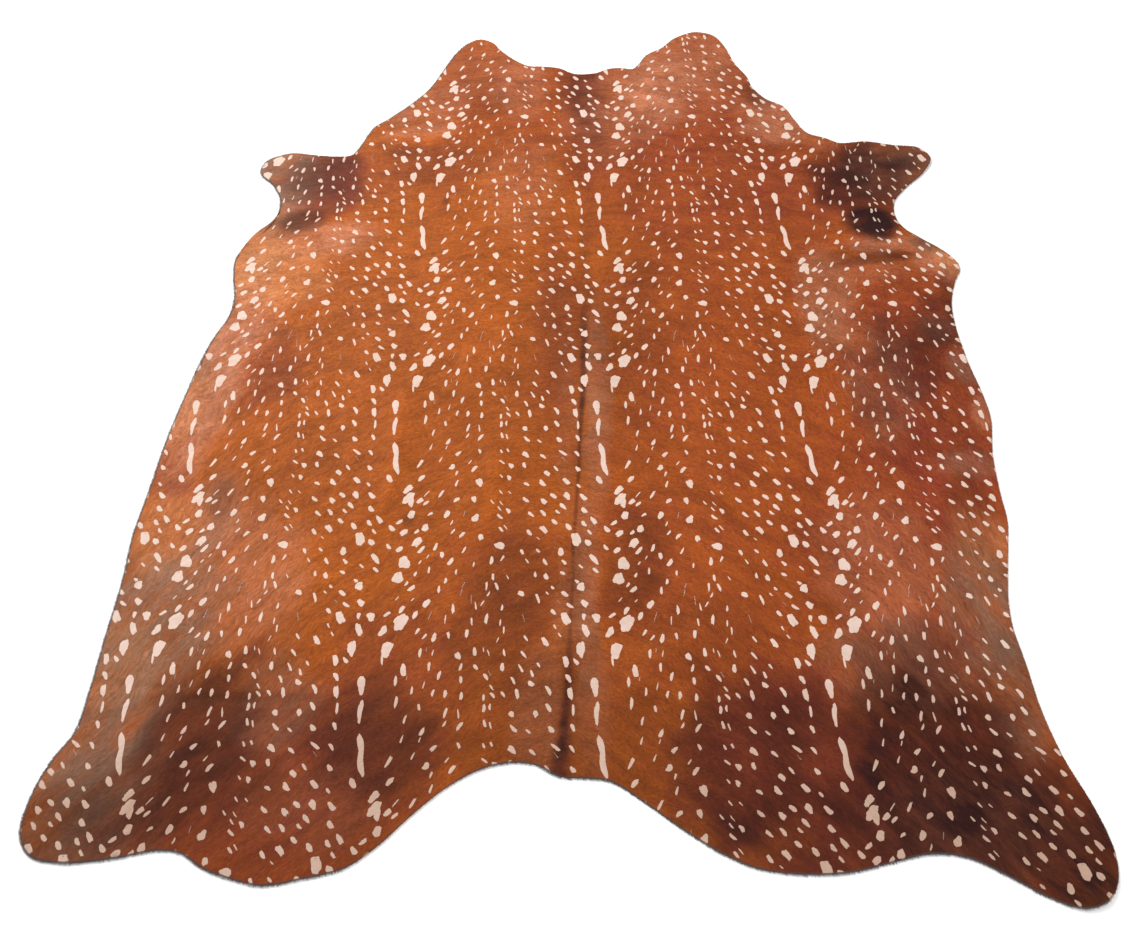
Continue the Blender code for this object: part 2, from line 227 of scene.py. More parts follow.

# Patches of the coat, natural ones and a few painted highlights and shadows on folds: where, x, y, half
# width, half height, lean in degrees, strength.
PATCHES = {
    "rust": (
        ("right half", 0.52, -0.10, 0.60, 1.40, 0, 0.36),
        ("withers, right", 0.28, 0.58, 0.36, 0.30, 0, 0.30),
        ("neck", 0.05, 0.90, 0.70, 0.42, 0, 0.36),
        ("neck, spine", 0.01, 0.84, 0.065, 0.34, 0, 0.26),
        ("left of the spine", -0.04, 0.12, 0.07, 0.40, 0, 0.25),
        ("left shoulder", -0.44, 0.60, 0.22, 0.13, 0, 0.22),
        ("left back, lower", -0.15, -0.55, 0.20, 0.22, 0, 0.22),
        ("left loin", -0.32, -0.70, 0.18, 0.12, 0, 0.30),
        ("right flank", 0.84, -0.10, 0.26, 0.48, 0, 0.58),
        ("right flank, middle", 0.66, -0.45, 0.24, 0.34, 0, 0.28),
        ("left edge, red", -0.87, -0.31, 0.08, 0.06, 0, 0.42),
        ("left hind leg", -0.58, -0.96, 0.36, 0.28, 0, 0.55),
        ("left rump", -0.36, -0.86, 0.22, 0.20, 0, 0.34),
        ("right rump", 0.42, -0.90, 0.24, 0.24, 0, 0.70),
        ("right loin", 0.14, -0.50, 0.16, 0.22, 0, 0.15),
        ("right hind leg", 0.74, -0.98, 0.34, 0.24, 0, 0.50),
        ("left foreleg", -0.67, 0.55, 0.16, 0.16, 0, 0.75),
        ("left foreleg, inner", -0.61, 0.59, 0.09, 0.11, 0, 0.55),
        ("right foreleg", 0.74, 0.56, 0.17, 0.17, 0, 0.50),
        ("left flank", -0.69, -0.04, 0.10, 0.14, 0, 0.40),
        ("inner side of the right foreleg", 0.56, 0.52, 0.16, 0.16, 0, 0.25),
        ("right thigh, upper edge", 0.70, -0.69, 0.18, 0.11, 0, 0.30),
    ),
    "pale": (
        ("right neck, upper", 0.27, 0.98, 0.24, 0.24, 0, 0.40),
        ("right neck, lower", 0.20, 0.88, 0.13, 0.19, -20, 0.44),
        ("withers", 0.09, 0.79, 0.16, 0.19, 0, 0.22),
        ("neck, base", 0.065, 0.80, 0.045, 0.045, 0, 0.34),
        ("right neck, edge", 0.54, 0.80, 0.14, 0.13, 0, 0.55),
        ("left neck, upper", -0.32, 1.00, 0.16, 0.18, 0, 0.16),
        ("left neck", -0.39, 0.83, 0.12, 0.10, 25, 0.28),
        # Painted highlight along the ridge of the left neck's lower fold.
        ("left neck, painted highlight on the lower fold", -0.42, 0.735, 0.14, 0.030, 8, 0.35),
        ("left of the spine, neck", -0.16, 0.92, 0.10, 0.17, 0, 0.30),
        ("left of the spine, withers", -0.14, 0.54, 0.12, 0.22, 0, 0.20),
        ("left elbow", -0.78, 0.29, 0.14, 0.14, 0, 0.24),
        ("left elbow, inner", -0.62, 0.36, 0.15, 0.07, 12, 0.50),
        ("left flank, upper", -0.79, 0.13, 0.13, 0.19, 0, 0.38),
        ("left edge", -0.84, -0.055, 0.11, 0.32, -4, 0.74),
        ("left belly", -0.80, -0.44, 0.13, 0.18, 0, 0.22),
        ("left stifle", -0.65, -0.54, 0.15, 0.22, 6, 0.35),
        ("beside the spine", 0.060, -0.10, 0.040, 0.34, 1, 0.10),
        ("right side of the tail", 0.055, -0.80, 0.045, 0.16, 0, 0.22),
        ("spine, loin", 0.015, -0.60, 0.055, 0.13, 0, 0.24),
        ("inner side of the right foreleg", 0.64, 0.71, 0.07, 0.06, 0, 0.24),
        ("left side of the tail", -0.045, -0.81, 0.070, 0.17, 0, 0.28),
        # Painted highlight on the fold above the right armpit's crease.
        ("right armpit", 0.76, 0.345, 0.12, 0.034, 2, 0.50),
        ("right elbow", 0.91, 0.30, 0.10, 0.09, 0, 0.62),
        ("right side, by the armpit", 0.70, 0.27, 0.14, 0.06, 0, 0.18),
        ("right side, upper", 0.60, 0.18, 0.09, 0.20, 0, 0.30),
        ("right stifle", 0.64, -0.52, 0.16, 0.22, 0, 0.24),
        ("right stifle, outer", 0.85, -0.47, 0.08, 0.13, 0, 0.10),
        ("left hind leg", -0.46, -0.98, 0.16, 0.10, 0, 0.12),
        ("left foreleg", -0.73, 0.48, 0.07, 0.07, 0, 0.42),
        ("left paw", -0.83, 0.62, 0.09, 0.08, 0, 0.55),
        ("right foreleg, top", 0.88, 0.64, 0.08, 0.05, 0, 0.22),
        ("right flank, edge", 0.92, -0.14, 0.045, 0.06, 0, 0.45),
        ("right flank, band", 0.86, -0.27, 0.09, 0.04, 0, 0.20),
    ),
    "grey": (
        ("left stifle, outer", -0.84, -0.62, 0.19, 0.19, 0, 0.74),
        ("left hind leg, outer", -0.88, -0.82, 0.17, 0.22, 0, 0.62),
        ("left hind leg, tip", -0.88, -1.00, 0.18, 0.16, 0, 0.50),
        ("left foreleg", -0.79, 0.57, 0.145, 0.17, 0, 0.60),
        ("left paw", -0.78, 0.63, 0.10, 0.06, 0, 0.45),
        ("left elbow, spot", -0.76, 0.295, 0.055, 0.045, 0, 0.48),
        ("left armpit", -0.74, 0.395, 0.08, 0.05, 0, 0.42),
        ("left elbow, edge", -0.83, 0.17, 0.035, 0.08, 0, 0.45),
        ("left flank, edge", -0.86, -0.03, 0.035, 0.045, 0, 0.50),
        ("left belly", -0.74, -0.40, 0.07, 0.14, 0, 0.35),
        ("right stifle, outer", 0.84, -0.58, 0.11, 0.18, 8, 0.55),
        ("right hind leg, outer", 0.87, -0.76, 0.09, 0.18, -6, 0.45),
        ("right side", 0.60, 0.18, 0.08, 0.18, 0, 0.25),
        ("right of the spine", 0.060, -0.12, 0.040, 0.34, 1, 0.32),
        ("right of the spine, loin", 0.040, -0.54, 0.034, 0.30, 1, 0.30),
        ("left of the spine", -0.010, -0.16, 0.030, 0.30, 1, 0.16),
        ("left neck, edge", -0.49, 0.80, 0.06, 0.07, 0, 0.30),
        ("right flank", 0.70, -0.05, 0.10, 0.22, 0, 0.25),
        ("left thigh, inner", -0.55, -0.80, 0.11, 0.13, 0, 0.34),
        ("right hind leg", 0.74, -1.00, 0.20, 0.12, 0, 0.25),
        ("right thigh, upper edge", 0.66, -0.71, 0.21, 0.11, 0, 0.32),
        ("right foreleg", 0.82, 0.59, 0.16, 0.14, 0, 0.42),
        ("right armpit, edge", 0.87, 0.345, 0.06, 0.03, -32, 0.60),
        ("right flank, upper", 0.85, 0.09, 0.06, 0.06, 0, 0.30),
        ("right flank, edge", 0.90, -0.01, 0.05, 0.07, 0, 0.38),
        ("right flank, band", 0.86, -0.27, 0.09, 0.05, 0, 0.22),
    ),
    "dark": (
        ("right foreleg", 0.735, 0.565, 0.16, 0.17, 0, 0.64),
        ("right foreleg, top", 0.81, 0.66, 0.14, 0.09, 0, 0.38),
        ("right foreleg, tip", 0.88, 0.62, 0.12, 0.11, 0, 0.34),
        ("right foreleg, inner", 0.68, 0.57, 0.11, 0.11, 0, 0.40),
        ("right shank", 0.740, 0.410, 0.088, 0.070, 0, 1.00),
        # Painted shadow in the crease under the right armpit's fold.
        ("right armpit, painted crease shadow", 0.74, 0.305, 0.13, 0.022, 9, 0.38),
        ("left foreleg", -0.65, 0.575, 0.14, 0.13, 0, 0.50),
        ("left shank", -0.680, 0.423, 0.078, 0.055, 0, 0.62),
        ("right neck, edge", 0.50, 0.88, 0.07, 0.07, -35, 0.46),
        ("left neck", -0.27, 0.86, 0.10, 0.10, 0, 0.14),
        ("right neck, spot", 0.42, 0.96, 0.08, 0.09, 0, 0.15),
        ("left of the neck's spine", -0.030, 0.90, 0.040, 0.12, 0, 0.14),
        ("left of the spine", -0.025, 0.12, 0.070, 0.24, 0, 0.16),
        ("right thigh", 0.68, -0.87, 0.21, 0.19, 0, 0.76),
        ("right thigh, upper", 0.68, -0.73, 0.17, 0.13, 0, 0.48),
        ("right thigh, outer", 0.84, -0.89, 0.09, 0.12, 0, 0.42),
        ("between the right thigh and rump", 0.50, -0.88, 0.14, 0.16, 0, 0.45),
        ("right rump", 0.32, -0.89, 0.15, 0.20, 0, 0.56),
        ("right rump, upper", 0.42, -0.78, 0.12, 0.10, 0, 0.34),
        ("right rump, lower", 0.42, -1.04, 0.28, 0.13, 0, 0.46),
        ("right hind leg", 0.80, -1.03, 0.32, 0.16, -14, 0.66),
        ("right hind leg, tip", 0.94, -1.04, 0.14, 0.19, 0, 0.64),
        ("left thigh", -0.69, -0.85, 0.135, 0.20, -28, 0.66),
        ("left thigh, lower", -0.74, -0.96, 0.24, 0.12, 10, 0.38),
        ("left thigh, inner", -0.53, -0.87, 0.10, 0.13, 0, 0.20),
        ("left rump", -0.36, -0.86, 0.17, 0.14, -10, 0.64),
        ("left hind leg, lower", -0.54, -1.04, 0.32, 0.16, 0, 0.36),
        ("left hind leg, tip", -0.88, -1.03, 0.20, 0.12, 0, 0.40),
        ("left loin", -0.30, -0.66, 0.16, 0.12, 0, 0.16),
        ("left back, lower", -0.09, -0.54, 0.13, 0.14, 0, 0.32),
        ("right loin", 0.14, -0.50, 0.09, 0.16, -8, 0.42),
        ("right flank, upper", 0.86, 0.11, 0.08, 0.10, 0, 0.48),
        ("right elbow, lower edge", 0.91, 0.17, 0.05, 0.12, 0, 0.44),
        ("right flank, middle", 0.77, 0.02, 0.11, 0.14, 0, 0.44),
        ("right flank, inner", 0.67, -0.11, 0.07, 0.08, 0, 0.26),
        ("right flank, lower", 0.84, -0.35, 0.07, 0.07, 0, 0.26),
        ("right flank, edge", 0.86, -0.12, 0.12, 0.20, 0, 0.12),
        ("left flank", -0.68, -0.04, 0.07, 0.10, 0, 0.20),
        ("left shoulder", -0.35, 0.62, 0.17, 0.10, 0, 0.22),
        ("bottom of the right hind leg", 0.60, -1.04, 0.40, 0.10, 0, 0.35),
        ("tail", -0.01, -0.85, 0.32, 0.24, 0, 0.40),
        ("right of the tail", 0.22, -0.95, 0.10, 0.12, 0, 0.26),
        ("left loin, lower", -0.14, -0.66, 0.14, 0.14, 0, 0.24),
        ("right loin, lower", 0.28, -0.66, 0.18, 0.12, 0, 0.24),
        ("left back", -0.30, -0.24, 0.34, 0.30, 0, 0.07),
        ("left belly", -0.62, -0.34, 0.20, 0.22, 0, 0.09),
        ("right of the spine", 0.13, 0.06, 0.12, 0.34, 0, 0.24),
        ("right flank, inner, lower", 0.50, -0.50, 0.15, 0.16, 0, 0.14),
        ("left rump, lower", -0.31, -0.99, 0.11, 0.10, 0, 0.24),
        ("right hind leg, outer", 0.88, -0.69, 0.08, 0.10, 0, 0.26),
        ("left of the spine, long", -0.07, 0.02, 0.12, 0.32, 0, 0.16),
        ("left stifle", -0.50, -0.66, 0.16, 0.12, 0, 0.17),
        ("left side", -0.48, 0.05, 0.18, 0.14, 0, 0.11),
        ("left belly, spot", -0.735, -0.36, 0.04, 0.06, 0, 0.26),
        ("right armpit, edge", 0.88, 0.345, 0.05, 0.025, -32, 0.30),
        ("scar, left back", -0.335, -0.405, 0.022, 0.018, 0, 0.50),
        ("scar, left shoulder", -0.33, 0.49, 0.014, 0.016, 0, 0.60),
    ),
    "golden": (
        ("left elbow", -0.80, 0.30, 0.12, 0.12, 0, 0.55),
        ("left elbow, lower", -0.71, 0.24, 0.14, 0.12, 0, 0.42),
        ("left edge", -0.87, -0.12, 0.06, 0.12, -4, 0.25),
        ("left belly", -0.85, -0.44, 0.10, 0.12, 0, 0.28),
        ("right elbow", 0.92, 0.30, 0.07, 0.06, 0, 0.40),
        ("right stifle", 0.85, -0.45, 0.09, 0.10, 0, 0.22),
        ("left hind leg", -0.88, -0.72, 0.12, 0.12, 0, 0.20),
    ),
}

# The dark line along the spine, from the tail to the neck: y, x, half width, strength.
SPINE = (
    (-0.940, -0.012, 0.023, 0.97), (-0.900, -0.008, 0.015, 0.97), (-0.850, 0.001, 0.009, 0.92),
    (-0.780, 0.004, 0.0075, 0.84), (-0.700, 0.006, 0.0055, 0.58), (-0.650, 0.008, 0.0035, 0.42),
    (-0.550, 0.010, 0.003, 0.40), (-0.450, 0.012, 0.0035, 0.50), (-0.350, 0.016, 0.0035, 0.60),
    (-0.250, 0.021, 0.0035, 0.64), (-0.150, 0.023, 0.0045, 0.86), (-0.100, 0.026, 0.0060, 0.92),
    (-0.040, 0.028, 0.0055, 0.88), (0.050, 0.026, 0.0065, 0.82), (0.130, 0.026, 0.0085, 0.55),
    (0.200, 0.042, 0.014, 0.36), (0.300, 0.026, 0.010, 0.26), (0.420, 0.034, 0.018, 0.16),
    (0.550, 0.044, 0.022, 0.18), (0.640, 0.056, 0.020, 0.32), (0.720, 0.049, 0.026, 0.42),
    (0.800, 0.034, 0.038, 0.50), (0.900, 0.016, 0.044, 0.60), (0.990, 0.016, 0.050, 0.62),
)

# One repeat of the print: how far each spot is across and down from the middle of the long streak, its
# length and width, all in millimetres, and in degrees how far it leans from straight down. The last rows
# are narrow and faint.
SPOTS = (
    (-85, 113, 22, 11, 38), (231, 119, 15, 6, 38), (-126, 129, 20, 10, 33), (-102, 149, 18, 11, 42),
    (-96, 126, 15, 8, 45), (-40, 123, 19, 12, 38), (-20, 147, 23, 12, 38), (86, 132, 15, 8, -62),
    (121, 133, 21, 14, -33), (233, 138, 19, 8, 48), (250, 124, 16, 10, 28), (298, 132, 20, 9, 47),
    (-124, 167, 23, 13, 43), (-72, 162, 20, 13, 44), (-40, 155, 18, 11, 35), (-28, 174, 16, 8, 40),
    (8, 166, 20, 12, 38), (23, 151, 19, 10, -48), (34, 175, 20, 14, -52), (61, 173, 15, 9, -50),
    (78, 164, 18, 17, 10), (137, 173, 16, 7, -38), (237, 167, 17, 8, 38), (296, 174, 19, 10, 34),
    (-31, 198, 19, 15, 38), (6, 208, 17, 10, 46), (103, 208, 21, 9, -17), (156, 181, 18, 9, -41),
    (196, 186, 16, 13, 20), (-134, 215, 14, 8, 47), (-119, 240, 19, 9, 34), (-87, 218, 22, 15, 10),
    (29, 213, 19, 13, -47), (74, 214, 24, 10, -38), (118, 225, 17, 11, 5), (163, 214, 19, 7, -27),
    (221, 237, 22, 10, -5), (243, 232, 16, 7, -25), (283, 218, 16, 9, 22), (294, 238, 15, 6, 32),
    (-82, 265, 15, 9, 60), (-80, 241, 17, 9, 39), (-15, 259, 17, 9, 45), (67, 268, 14, 8, -22),
    (94, 259, 17, 7, -6), (137, 240, 21, 11, -33), (150, 263, 14, 7, 0), (185, 246, 14, 6, -8),
    (312, 268, 15, 8, 12), (-116, 272, 16, 12, 32), (-102, 296, 12, 8, 43), (-53, 283, 12, 9, 40),
    (51, 289, 14, 8, -28), (62, 299, 20, 11, -48), (130, 282, 15, 8, -8), (214, 293, 22, 7, 0),
    (226, 273, 17, 8, 0), (235, 294, 20, 8, 22), (-131, 319, 24, 8, 22), (-77, 310, 19, 11, 46),
    (-37, 330, 20, 14, 50), (67, 323, 11, 5, -45), (118, 301, 19, 8, 0), (208, 330, 16, 6, -32),
    (219, 310, 15, 6, -30), (285, 309, 17, 13, 70), (-99, 348, 17, 10, 33), (-66, 335, 20, 9, 56),
    (-38, 358, 16, 10, -8), (19, 354, 19, 9, -54), (47, 344, 20, 11, -30), (75, 355, 21, 12, -30),
    (95, 331, 22, 14, -42), (150, 342, 22, 9, 6), (195, 336, 19, 6, 10), (248, 339, 16, 7, -6),
    (-95, 379, 13, 6, 27), (83, 389, 17, 8, -28), (136, 364, 22, 5, -3), (189, 368, 19, 6, 7),
    (218, 363, 24, 9, -8), (254, 386, 18, 6, 0), (-114, 409, 23, 12, 28), (98, 400, 17, 7, -38),
    (117, 402, 23, 11, -14), (145, 397, 17, 8, 12), (181, 393, 19, 10, -4), (243, 406, 15, 5, -24),
    (298, 402, 17, 7, 34), (-72, 449, 25, 13, 18), (-52, 449, 19, 10, 42), (92, 433, 21, 9, 0),
    (117, 433, 16, 5, -10), (167, 439, 19, 14, 28), (199, 430, 21, 10, 8), (226, 432, 16, 5, 20),
    (257, 432, 18, 7, 12), (295, 435, 21, 8, 41), (-137, 473, 17, 8, 20), (-125, 456, 14, 7, 36),
    (19, 447, 27, 7, 6), (112, 460, 20, 8, 0), (133, 478, 21, 9, -15), (174, 461, 18, 8, -12),
    (203, 461, 16, 9, 42), (224, 480, 19, 9, 35), (255, 461, 20, 11, 3), (291, 463, 22, 7, 30),
    (-104, 506, 24, 10, 27), (-66, 482, 21, 11, 25), (50, 489, 24, 9, 0), (83, 508, 19, 7, -3),
    (105, 497, 18, 5, -12), (176, 486, 17, 9, 0), (236, 501, 15, 6, 33), (277, 487, 19, 8, 28),
    (312, 493, 16, 12, 65), (-62, 511, 26, 13, 10), (55, 530, 25, 9, -5), (124, 512, 17, 8, -18),
    (148, 514, 18, 10, 0), (179, 518, 18, 9, -3), (222, 520, 16, 8, 0), (235, 538, 16, 7, -2),
    (239, 516, 17, 8, 44), (259, 514, 16, 8, 37), (286, 513, 22, 10, 14), (-127, 551, 15, 12, 30),
    (-103, 539, 21, 10, 33), (-56, 543, 25, 8, 0), (75, 563, 20, 7, -13), (100, 540, 16, 8, 12),
    (151, 550, 23, 8, -15), (176, 552, 23, 6, 10), (224, 541, 18, 9, -2), (277, 552, 15, 13, 25),
    (-97, 580, 18, 12, 42), (-56, 576, 19, 10, 20), (110, 586, 20, 10, -25), (151, 571, 16, 7, -28),
    (180, 575, 22, 9, -33), (227, 570, 18, 8, 18), (282, 579, 22, 9, 45), (310, 584, 15, 7, 48),
    (-131, 622, 18, 9, 50), (-88, 613, 24, 9, 51), (-57, 615, 19, 9, 36), (73, 600, 18, 6, -15),
    (107, 601, 13, 5, -20), (134, 616, 18, 10, -45), (181, 611, 15, 8, 25), (228, 611, 13, 7, 26),
    (242, 608, 12, 7, 28), (281, 618, 21, 13, 52), (-102, 652, 18, 8, 38), (-55, 653, 17, 11, 44),
    (53, 641, 25, 9, -28), (97, 631, 17, 6, -22), (123, 649, 17, 13, -30), (172, 654, 21, 10, -36),
    (231, 638, 17, 7, 55), (251, 646, 17, 13, 40), (279, 644, 17, 10, 20), (-130, 688, 22, 12, 45),
    (-121, 664, 18, 12, 52), (-79, 683, 22, 12, 41), (-9, 680, 24, 14, 25), (59, 677, 22, 12, -42),
    (134, 664, 15, 7, -20), (231, 672, 13, 6, 36), (248, 675, 15, 12, 45), (-106, 718, 19, 11, 50),
    (-77, 718, 21, 15, 42), (-52, 694, 14, 8, 41), (74, 714, 20, 5, -38), (105, 714, 22, 8, -29),
    (136, 689, 19, 7, -17), (232, 710, 14, 6, 38), (251, 711, 12, 5, 45), (286, 690, 17, 9, 60),
    (-126, 731, 19, 13, 45), (-42, 721, 22, 12, 44), (61, 731, 19, 12, -45), (75, 736, 18, 9, -52),
    (139, 729, 18, 11, -50), (176, 728, 18, 14, 0), (215, 734, 14, 6, 40), (234, 736, 15, 5, 38),
    (286, 728, 20, 10, 47), (158, 133, 16, 4, -12), (133, 152, 15, 6, -22), (246, 162, 16, 5, 38),
    (-135, 187, 11, 5, 48), (89, 229, 13, 5, -29), (-45, 251, 15, 7, 50), (74, 242, 12, 6, -32),
    (167, 291, 16, 4, -24), (256, 274, 14, 5, 30), (-112, 308, 11, 6, 42), (-88, 327, 12, 4, 44),
    (35, 321, 14, 5, -40), (164, 306, 16, 4, -12), (185, 321, 21, 4, 4), (105, 356, 20, 4, -18),
    (292, 360, 20, 4, 15), (246, 371, 17, 6, -3), (-85, 396, 13, 6, 34), (104, 427, 11, 4, -5),
    (216, 426, 12, 5, 8), (231, 473, 14, 4, 30), (71, 484, 11, 4, -10), (238, 573, 16, 6, 18),
    (-86, 628, 14, 4, 38), (161, 638, 15, 6, -35),
)
BIG_SPOTS = (
    (46, 134, 21, 16, -14), (182, 142, 22, 15, -28), (-56, 191, 31, 20, 10), (64, 197, 25, 17, -32),
    (236, 204, 24, 17, 72), (-19, 234, 29, 12, 39), (42, 243, 30, 25, 20), (-44, 295, 20, 17, 0),
    (32, 276, 26, 24, 0), (-74, 362, 29, 17, 25), (-34, 386, 28, 14, 24), (-13, 360, 22, 17, 28),
    (14, 389, 26, 15, -28), (48, 370, 38, 28, -22), (-43, 425, 34, 19, 3), (26, 427, 34, 21, -12),
    (63, 468, 28, 13, 8), (-15, 498, 40, 16, 6), (-11, 549, 48, 11, -2), (185, 688, 22, 16, 20),
    (33, 704, 26, 14, -40), (36, 724, 34, 18, -36), (43, 734, 25, 13, -6),
)
STREAK_SPOT = (0, 630, 84, 14, 8)  # the long streak as such a row, and then its line: across, down, width
LONG_STREAK = (
    (-8, 588, 0), (-6, 597, 13), (-3, 608, 16), (0, 622, 12), (0, 640, 14), (3, 655, 15), (8, 666, 9),
    (9, 673, 0),
)
PRINT_START = (-0.3775, 0.3697)  # the middle of one long streak on the hide
REPEATS = 4  # how many repeats are laid to each side of that one
SMALL_POINTS, BIG_POINTS, STREAK_POINTS = 12, 24, 28  # points round a spot's ring and round the streak's
SPOT_POWER, POWER_CHANCE = 0.86, 0.22  # of a spot's superellipse, which is full under 1 and pointed over it
HEAVY_END, SPOT_BOW = 0.20, 0.10  # the most by which one end is heavier, and by which a spot is bowed
WAVE_3, WAVE_5, JITTER = 0.08, 0.06, 0.07  # how far a spot's rim has three waves, five waves and unevenness
SMALL_SKEW, BIG_SKEW = 0.35, 0.10  # the most by which a small and a big spot are slanted
SMALL_CREEP = 1.3  # how many times further brown hair closes in over a small spot
BIG_CORE = -0.0045  # how much wider than the spot the inmost ring of a big one is, on every side
EDGE_LIFT = 0.2  # how much of the print's lift the outer ring of a spot has
PAST_BOX, PAST_RIM = 0.03, 0.02  # how far past the hide's box and its rim the middle of a spot may be
RIM_ZONE = 0.06  # a spot whose middle is deeper inside than this is clear of the rim
POINTS_LOST = 3  # a spot is left out when only so many of its points are inside the rim
PRINT_SEED, FRINGE_SEED = 17, 41

# Locks over the cut edge. A name with CHANCE in it is the most that chance adds to the one before it.
ROOT_INSET, ROOT_INSET_CHANCE = 0.0006, 0.0016  # how far inside the rim a lock has its root
LOCK_LENGTH, LENGTH_CHANCE = 0.0022, 0.0012
SHADOWED_LENGTH, SHADOWED_LENGTH_CHANCE = 0.0014, 0.0034  # what these two gain where the rim's painted shadow is
LOCK_HALF_WIDTH = 0.00022  # chance adds as much again
BY_NORMAL, BY_LIE, BY_CHANCE = 0.8, 0.7, 0.5  # what a lock's way takes from the normal, the lie and chance
LEAST_OUT = 0.35  # how far outward it leads at least
MIDDLE_PLACE, MIDDLE_WIDTH = 0.55, 0.8  # where a lock's middle is, and its share of the root's width
ROOT_LEVEL, LOCK_RISE = 0.93, 0.0002  # the root's level in the sheet, and how far a lock rises from it
DROOP, DROOP_CHANCE = 0.35, 0.4  # how far a tip droops for each metre that it is past the rim
LOCK_SHADOW = (0.6, 0.6, 1.0, 1.0, 1.0)  # what each of a lock's points takes of the rim's painted shadow

# Kinds of hair strokes: repeats in a metre along the hair and across it, the detail, roughness and distortion
# of their noise, their share of the relief, and the coat's shade in their low and in their high places.
STROKES = {
    "Locks": (34, 140, 3.0, 0.60, 0.4, 0.4, 0.89, 1.11),
    "Tufts": (105, 430, 3.0, 0.65, 0.3, 0.3, 0.79, 1.18),
    "Fine": (150, 1150, 2.0, 0.60, 0.0, 0.3, 0.82, 1.18),
    "Flecks": (130, 260, 3.0, 0.70, 0.0, 0.0, 0.82, 1.16),
}
# The tones in the order of PATCHES, each with how much of it is left where its mottling is thinnest.
TONES = {"Rust": 0.86, "Pale": 0.66, "Grey": 0.50, "Dark": 0.86, "Golden": 0.70}
HAIR_RELIEF, SWELL_RELIEF = 0.00042, 0.0012  # heights of the coat's strokes and of its broad swells
NAP_RELIEF, SCRAPE_RELIEF = 0.00018, 0.0004  # heights of the suede's nap and of its scrapes

# The kind of a point attribute and the field that holds it, by its number of values a point.
KINDS = {1: ("FLOAT", "value"), 3: ("FLOAT_VECTOR", "vector"), 4: ("FLOAT_COLOR", "color")}

# The soft lights: place, target, width, share of the key light's power, colour.
LIGHTS = {
    "key": ((-2.2, 2.4, 3.6), (0.0, 0.1, 0.0), 3.4, 1.00, (1.0, 0.985, 0.96)),
    "fill": ((2.6, -2.8, 3.4), (0.0, -0.2, 0.0), 3.0, 0.35, (0.97, 0.98, 1.0)),
}
FLOOR_DROP = 0.0003  # how far under the hide the floor lies
PHOTO_WIDTH = 1140  # of the photograph, in pixels
FOCAL_PIXELS = 950  # its focal length
AXIS_X = 590  # where its optical axis meets it
EYE = (0.0682, -1.2551, 1.8084)
PITCH, YAW, ROLL = 61.749, -1.434, 1.0545  # degrees down from level, to the right, and clockwise


def smooth_rim(places, step):
    """Points about one step apart on a closed centripetal Catmull-Rom line through the places."""
    before, start = np.roll(places, 1, axis=0), places
    end, after = np.roll(places, -1, axis=0), np.roll(places, -2, axis=0)
    knots = np.zeros((4, len(places)))
    for index, (a, b) in enumerate(((before, start), (start, end), (end, after))):
        knots[index + 1] = knots[index] + np.sqrt(np.linalg.norm(b - a, axis=1))
    points = []
    for row, (t0, t1, t2, t3) in enumerate(knots.T):
        count = max(1, round(float(np.linalg.norm(end[row] - start[row])) / step))
        t = np.linspace(t1, t2, count, endpoint=False)[:, None]
        a1 = ((t1 - t) * before[row] + (t - t0) * start[row]) / (t1 - t0)
        a2 = ((t2 - t) * start[row] + (t - t1) * end[row]) / (t2 - t1)
        a3 = ((t3 - t) * end[row] + (t - t2) * after[row]) / (t3 - t2)
        b1 = ((t2 - t) * a1 + (t - t0) * a2) / (t2 - t0)
        b2 = ((t3 - t) * a2 + (t - t1) * a3) / (t3 - t1)
        points.append(((t2 - t) * b1 + (t - t1) * b2) / (t2 - t1))
    return np.concatenate(points)


def outward(loop):
    """The unit normal at each point of an anticlockwise loop: its chord past the point, turned right."""
    chord = np.roll(loop, -1, axis=0) - np.roll(loop, 1, axis=0)
    return np.stack([chord[:, 1], -chord[:, 0]], axis=1) / np.linalg.norm(chord, axis=1, keepdims=True)


def spread(side, cells, axis):
    """Points along one side of the net, even by a mix of the way along it and the way across the hide."""
    steps = np.linalg.norm(np.diff(side, axis=0), axis=1)
    length = np.concatenate([[0], np.cumsum(steps)])
    across = np.maximum.accumulate(np.abs(side[:, axis] - side[0, axis]))
    place = BY_LENGTH * length / length[-1] + (1 - BY_LENGTH) * across / across[-1]
    wanted = np.linspace(0, 1, cells + 1)
    return np.stack([np.interp(wanted, place, side[:, number]) for number in (0, 1)], axis=1)


def blend_sides(bottom, right, top, left):
    """A Coons patch: the two sheets ruled between opposite sides, less the one between the corners.

    With u across and v along, it is (1 - v) bottom + v top + (1 - u) left + u right, less the bilinear sheet
    between the four corners.
    """
    u = np.linspace(0, 1, len(bottom))[None, :, None]
    v = np.linspace(0, 1, len(left))[:, None, None]
    ruled = (1 - v) * bottom[None] + v * top[None] + (1 - u) * left[:, None] + u * right[:, None]
    corners = (1 - v) * ((1 - u) * bottom[0] + u * bottom[-1]) + v * ((1 - u) * top[0] + u * top[-1])
    return ruled - corners


def border(rows, columns):
    """Indices of a net's outermost points, anticlockwise from its first one."""
    index = np.arange(rows * columns).reshape(rows, columns)
    return np.concatenate([index[0, :-1], index[:-1, -1], index[-1, :0:-1], index[:0:-1, 0]])


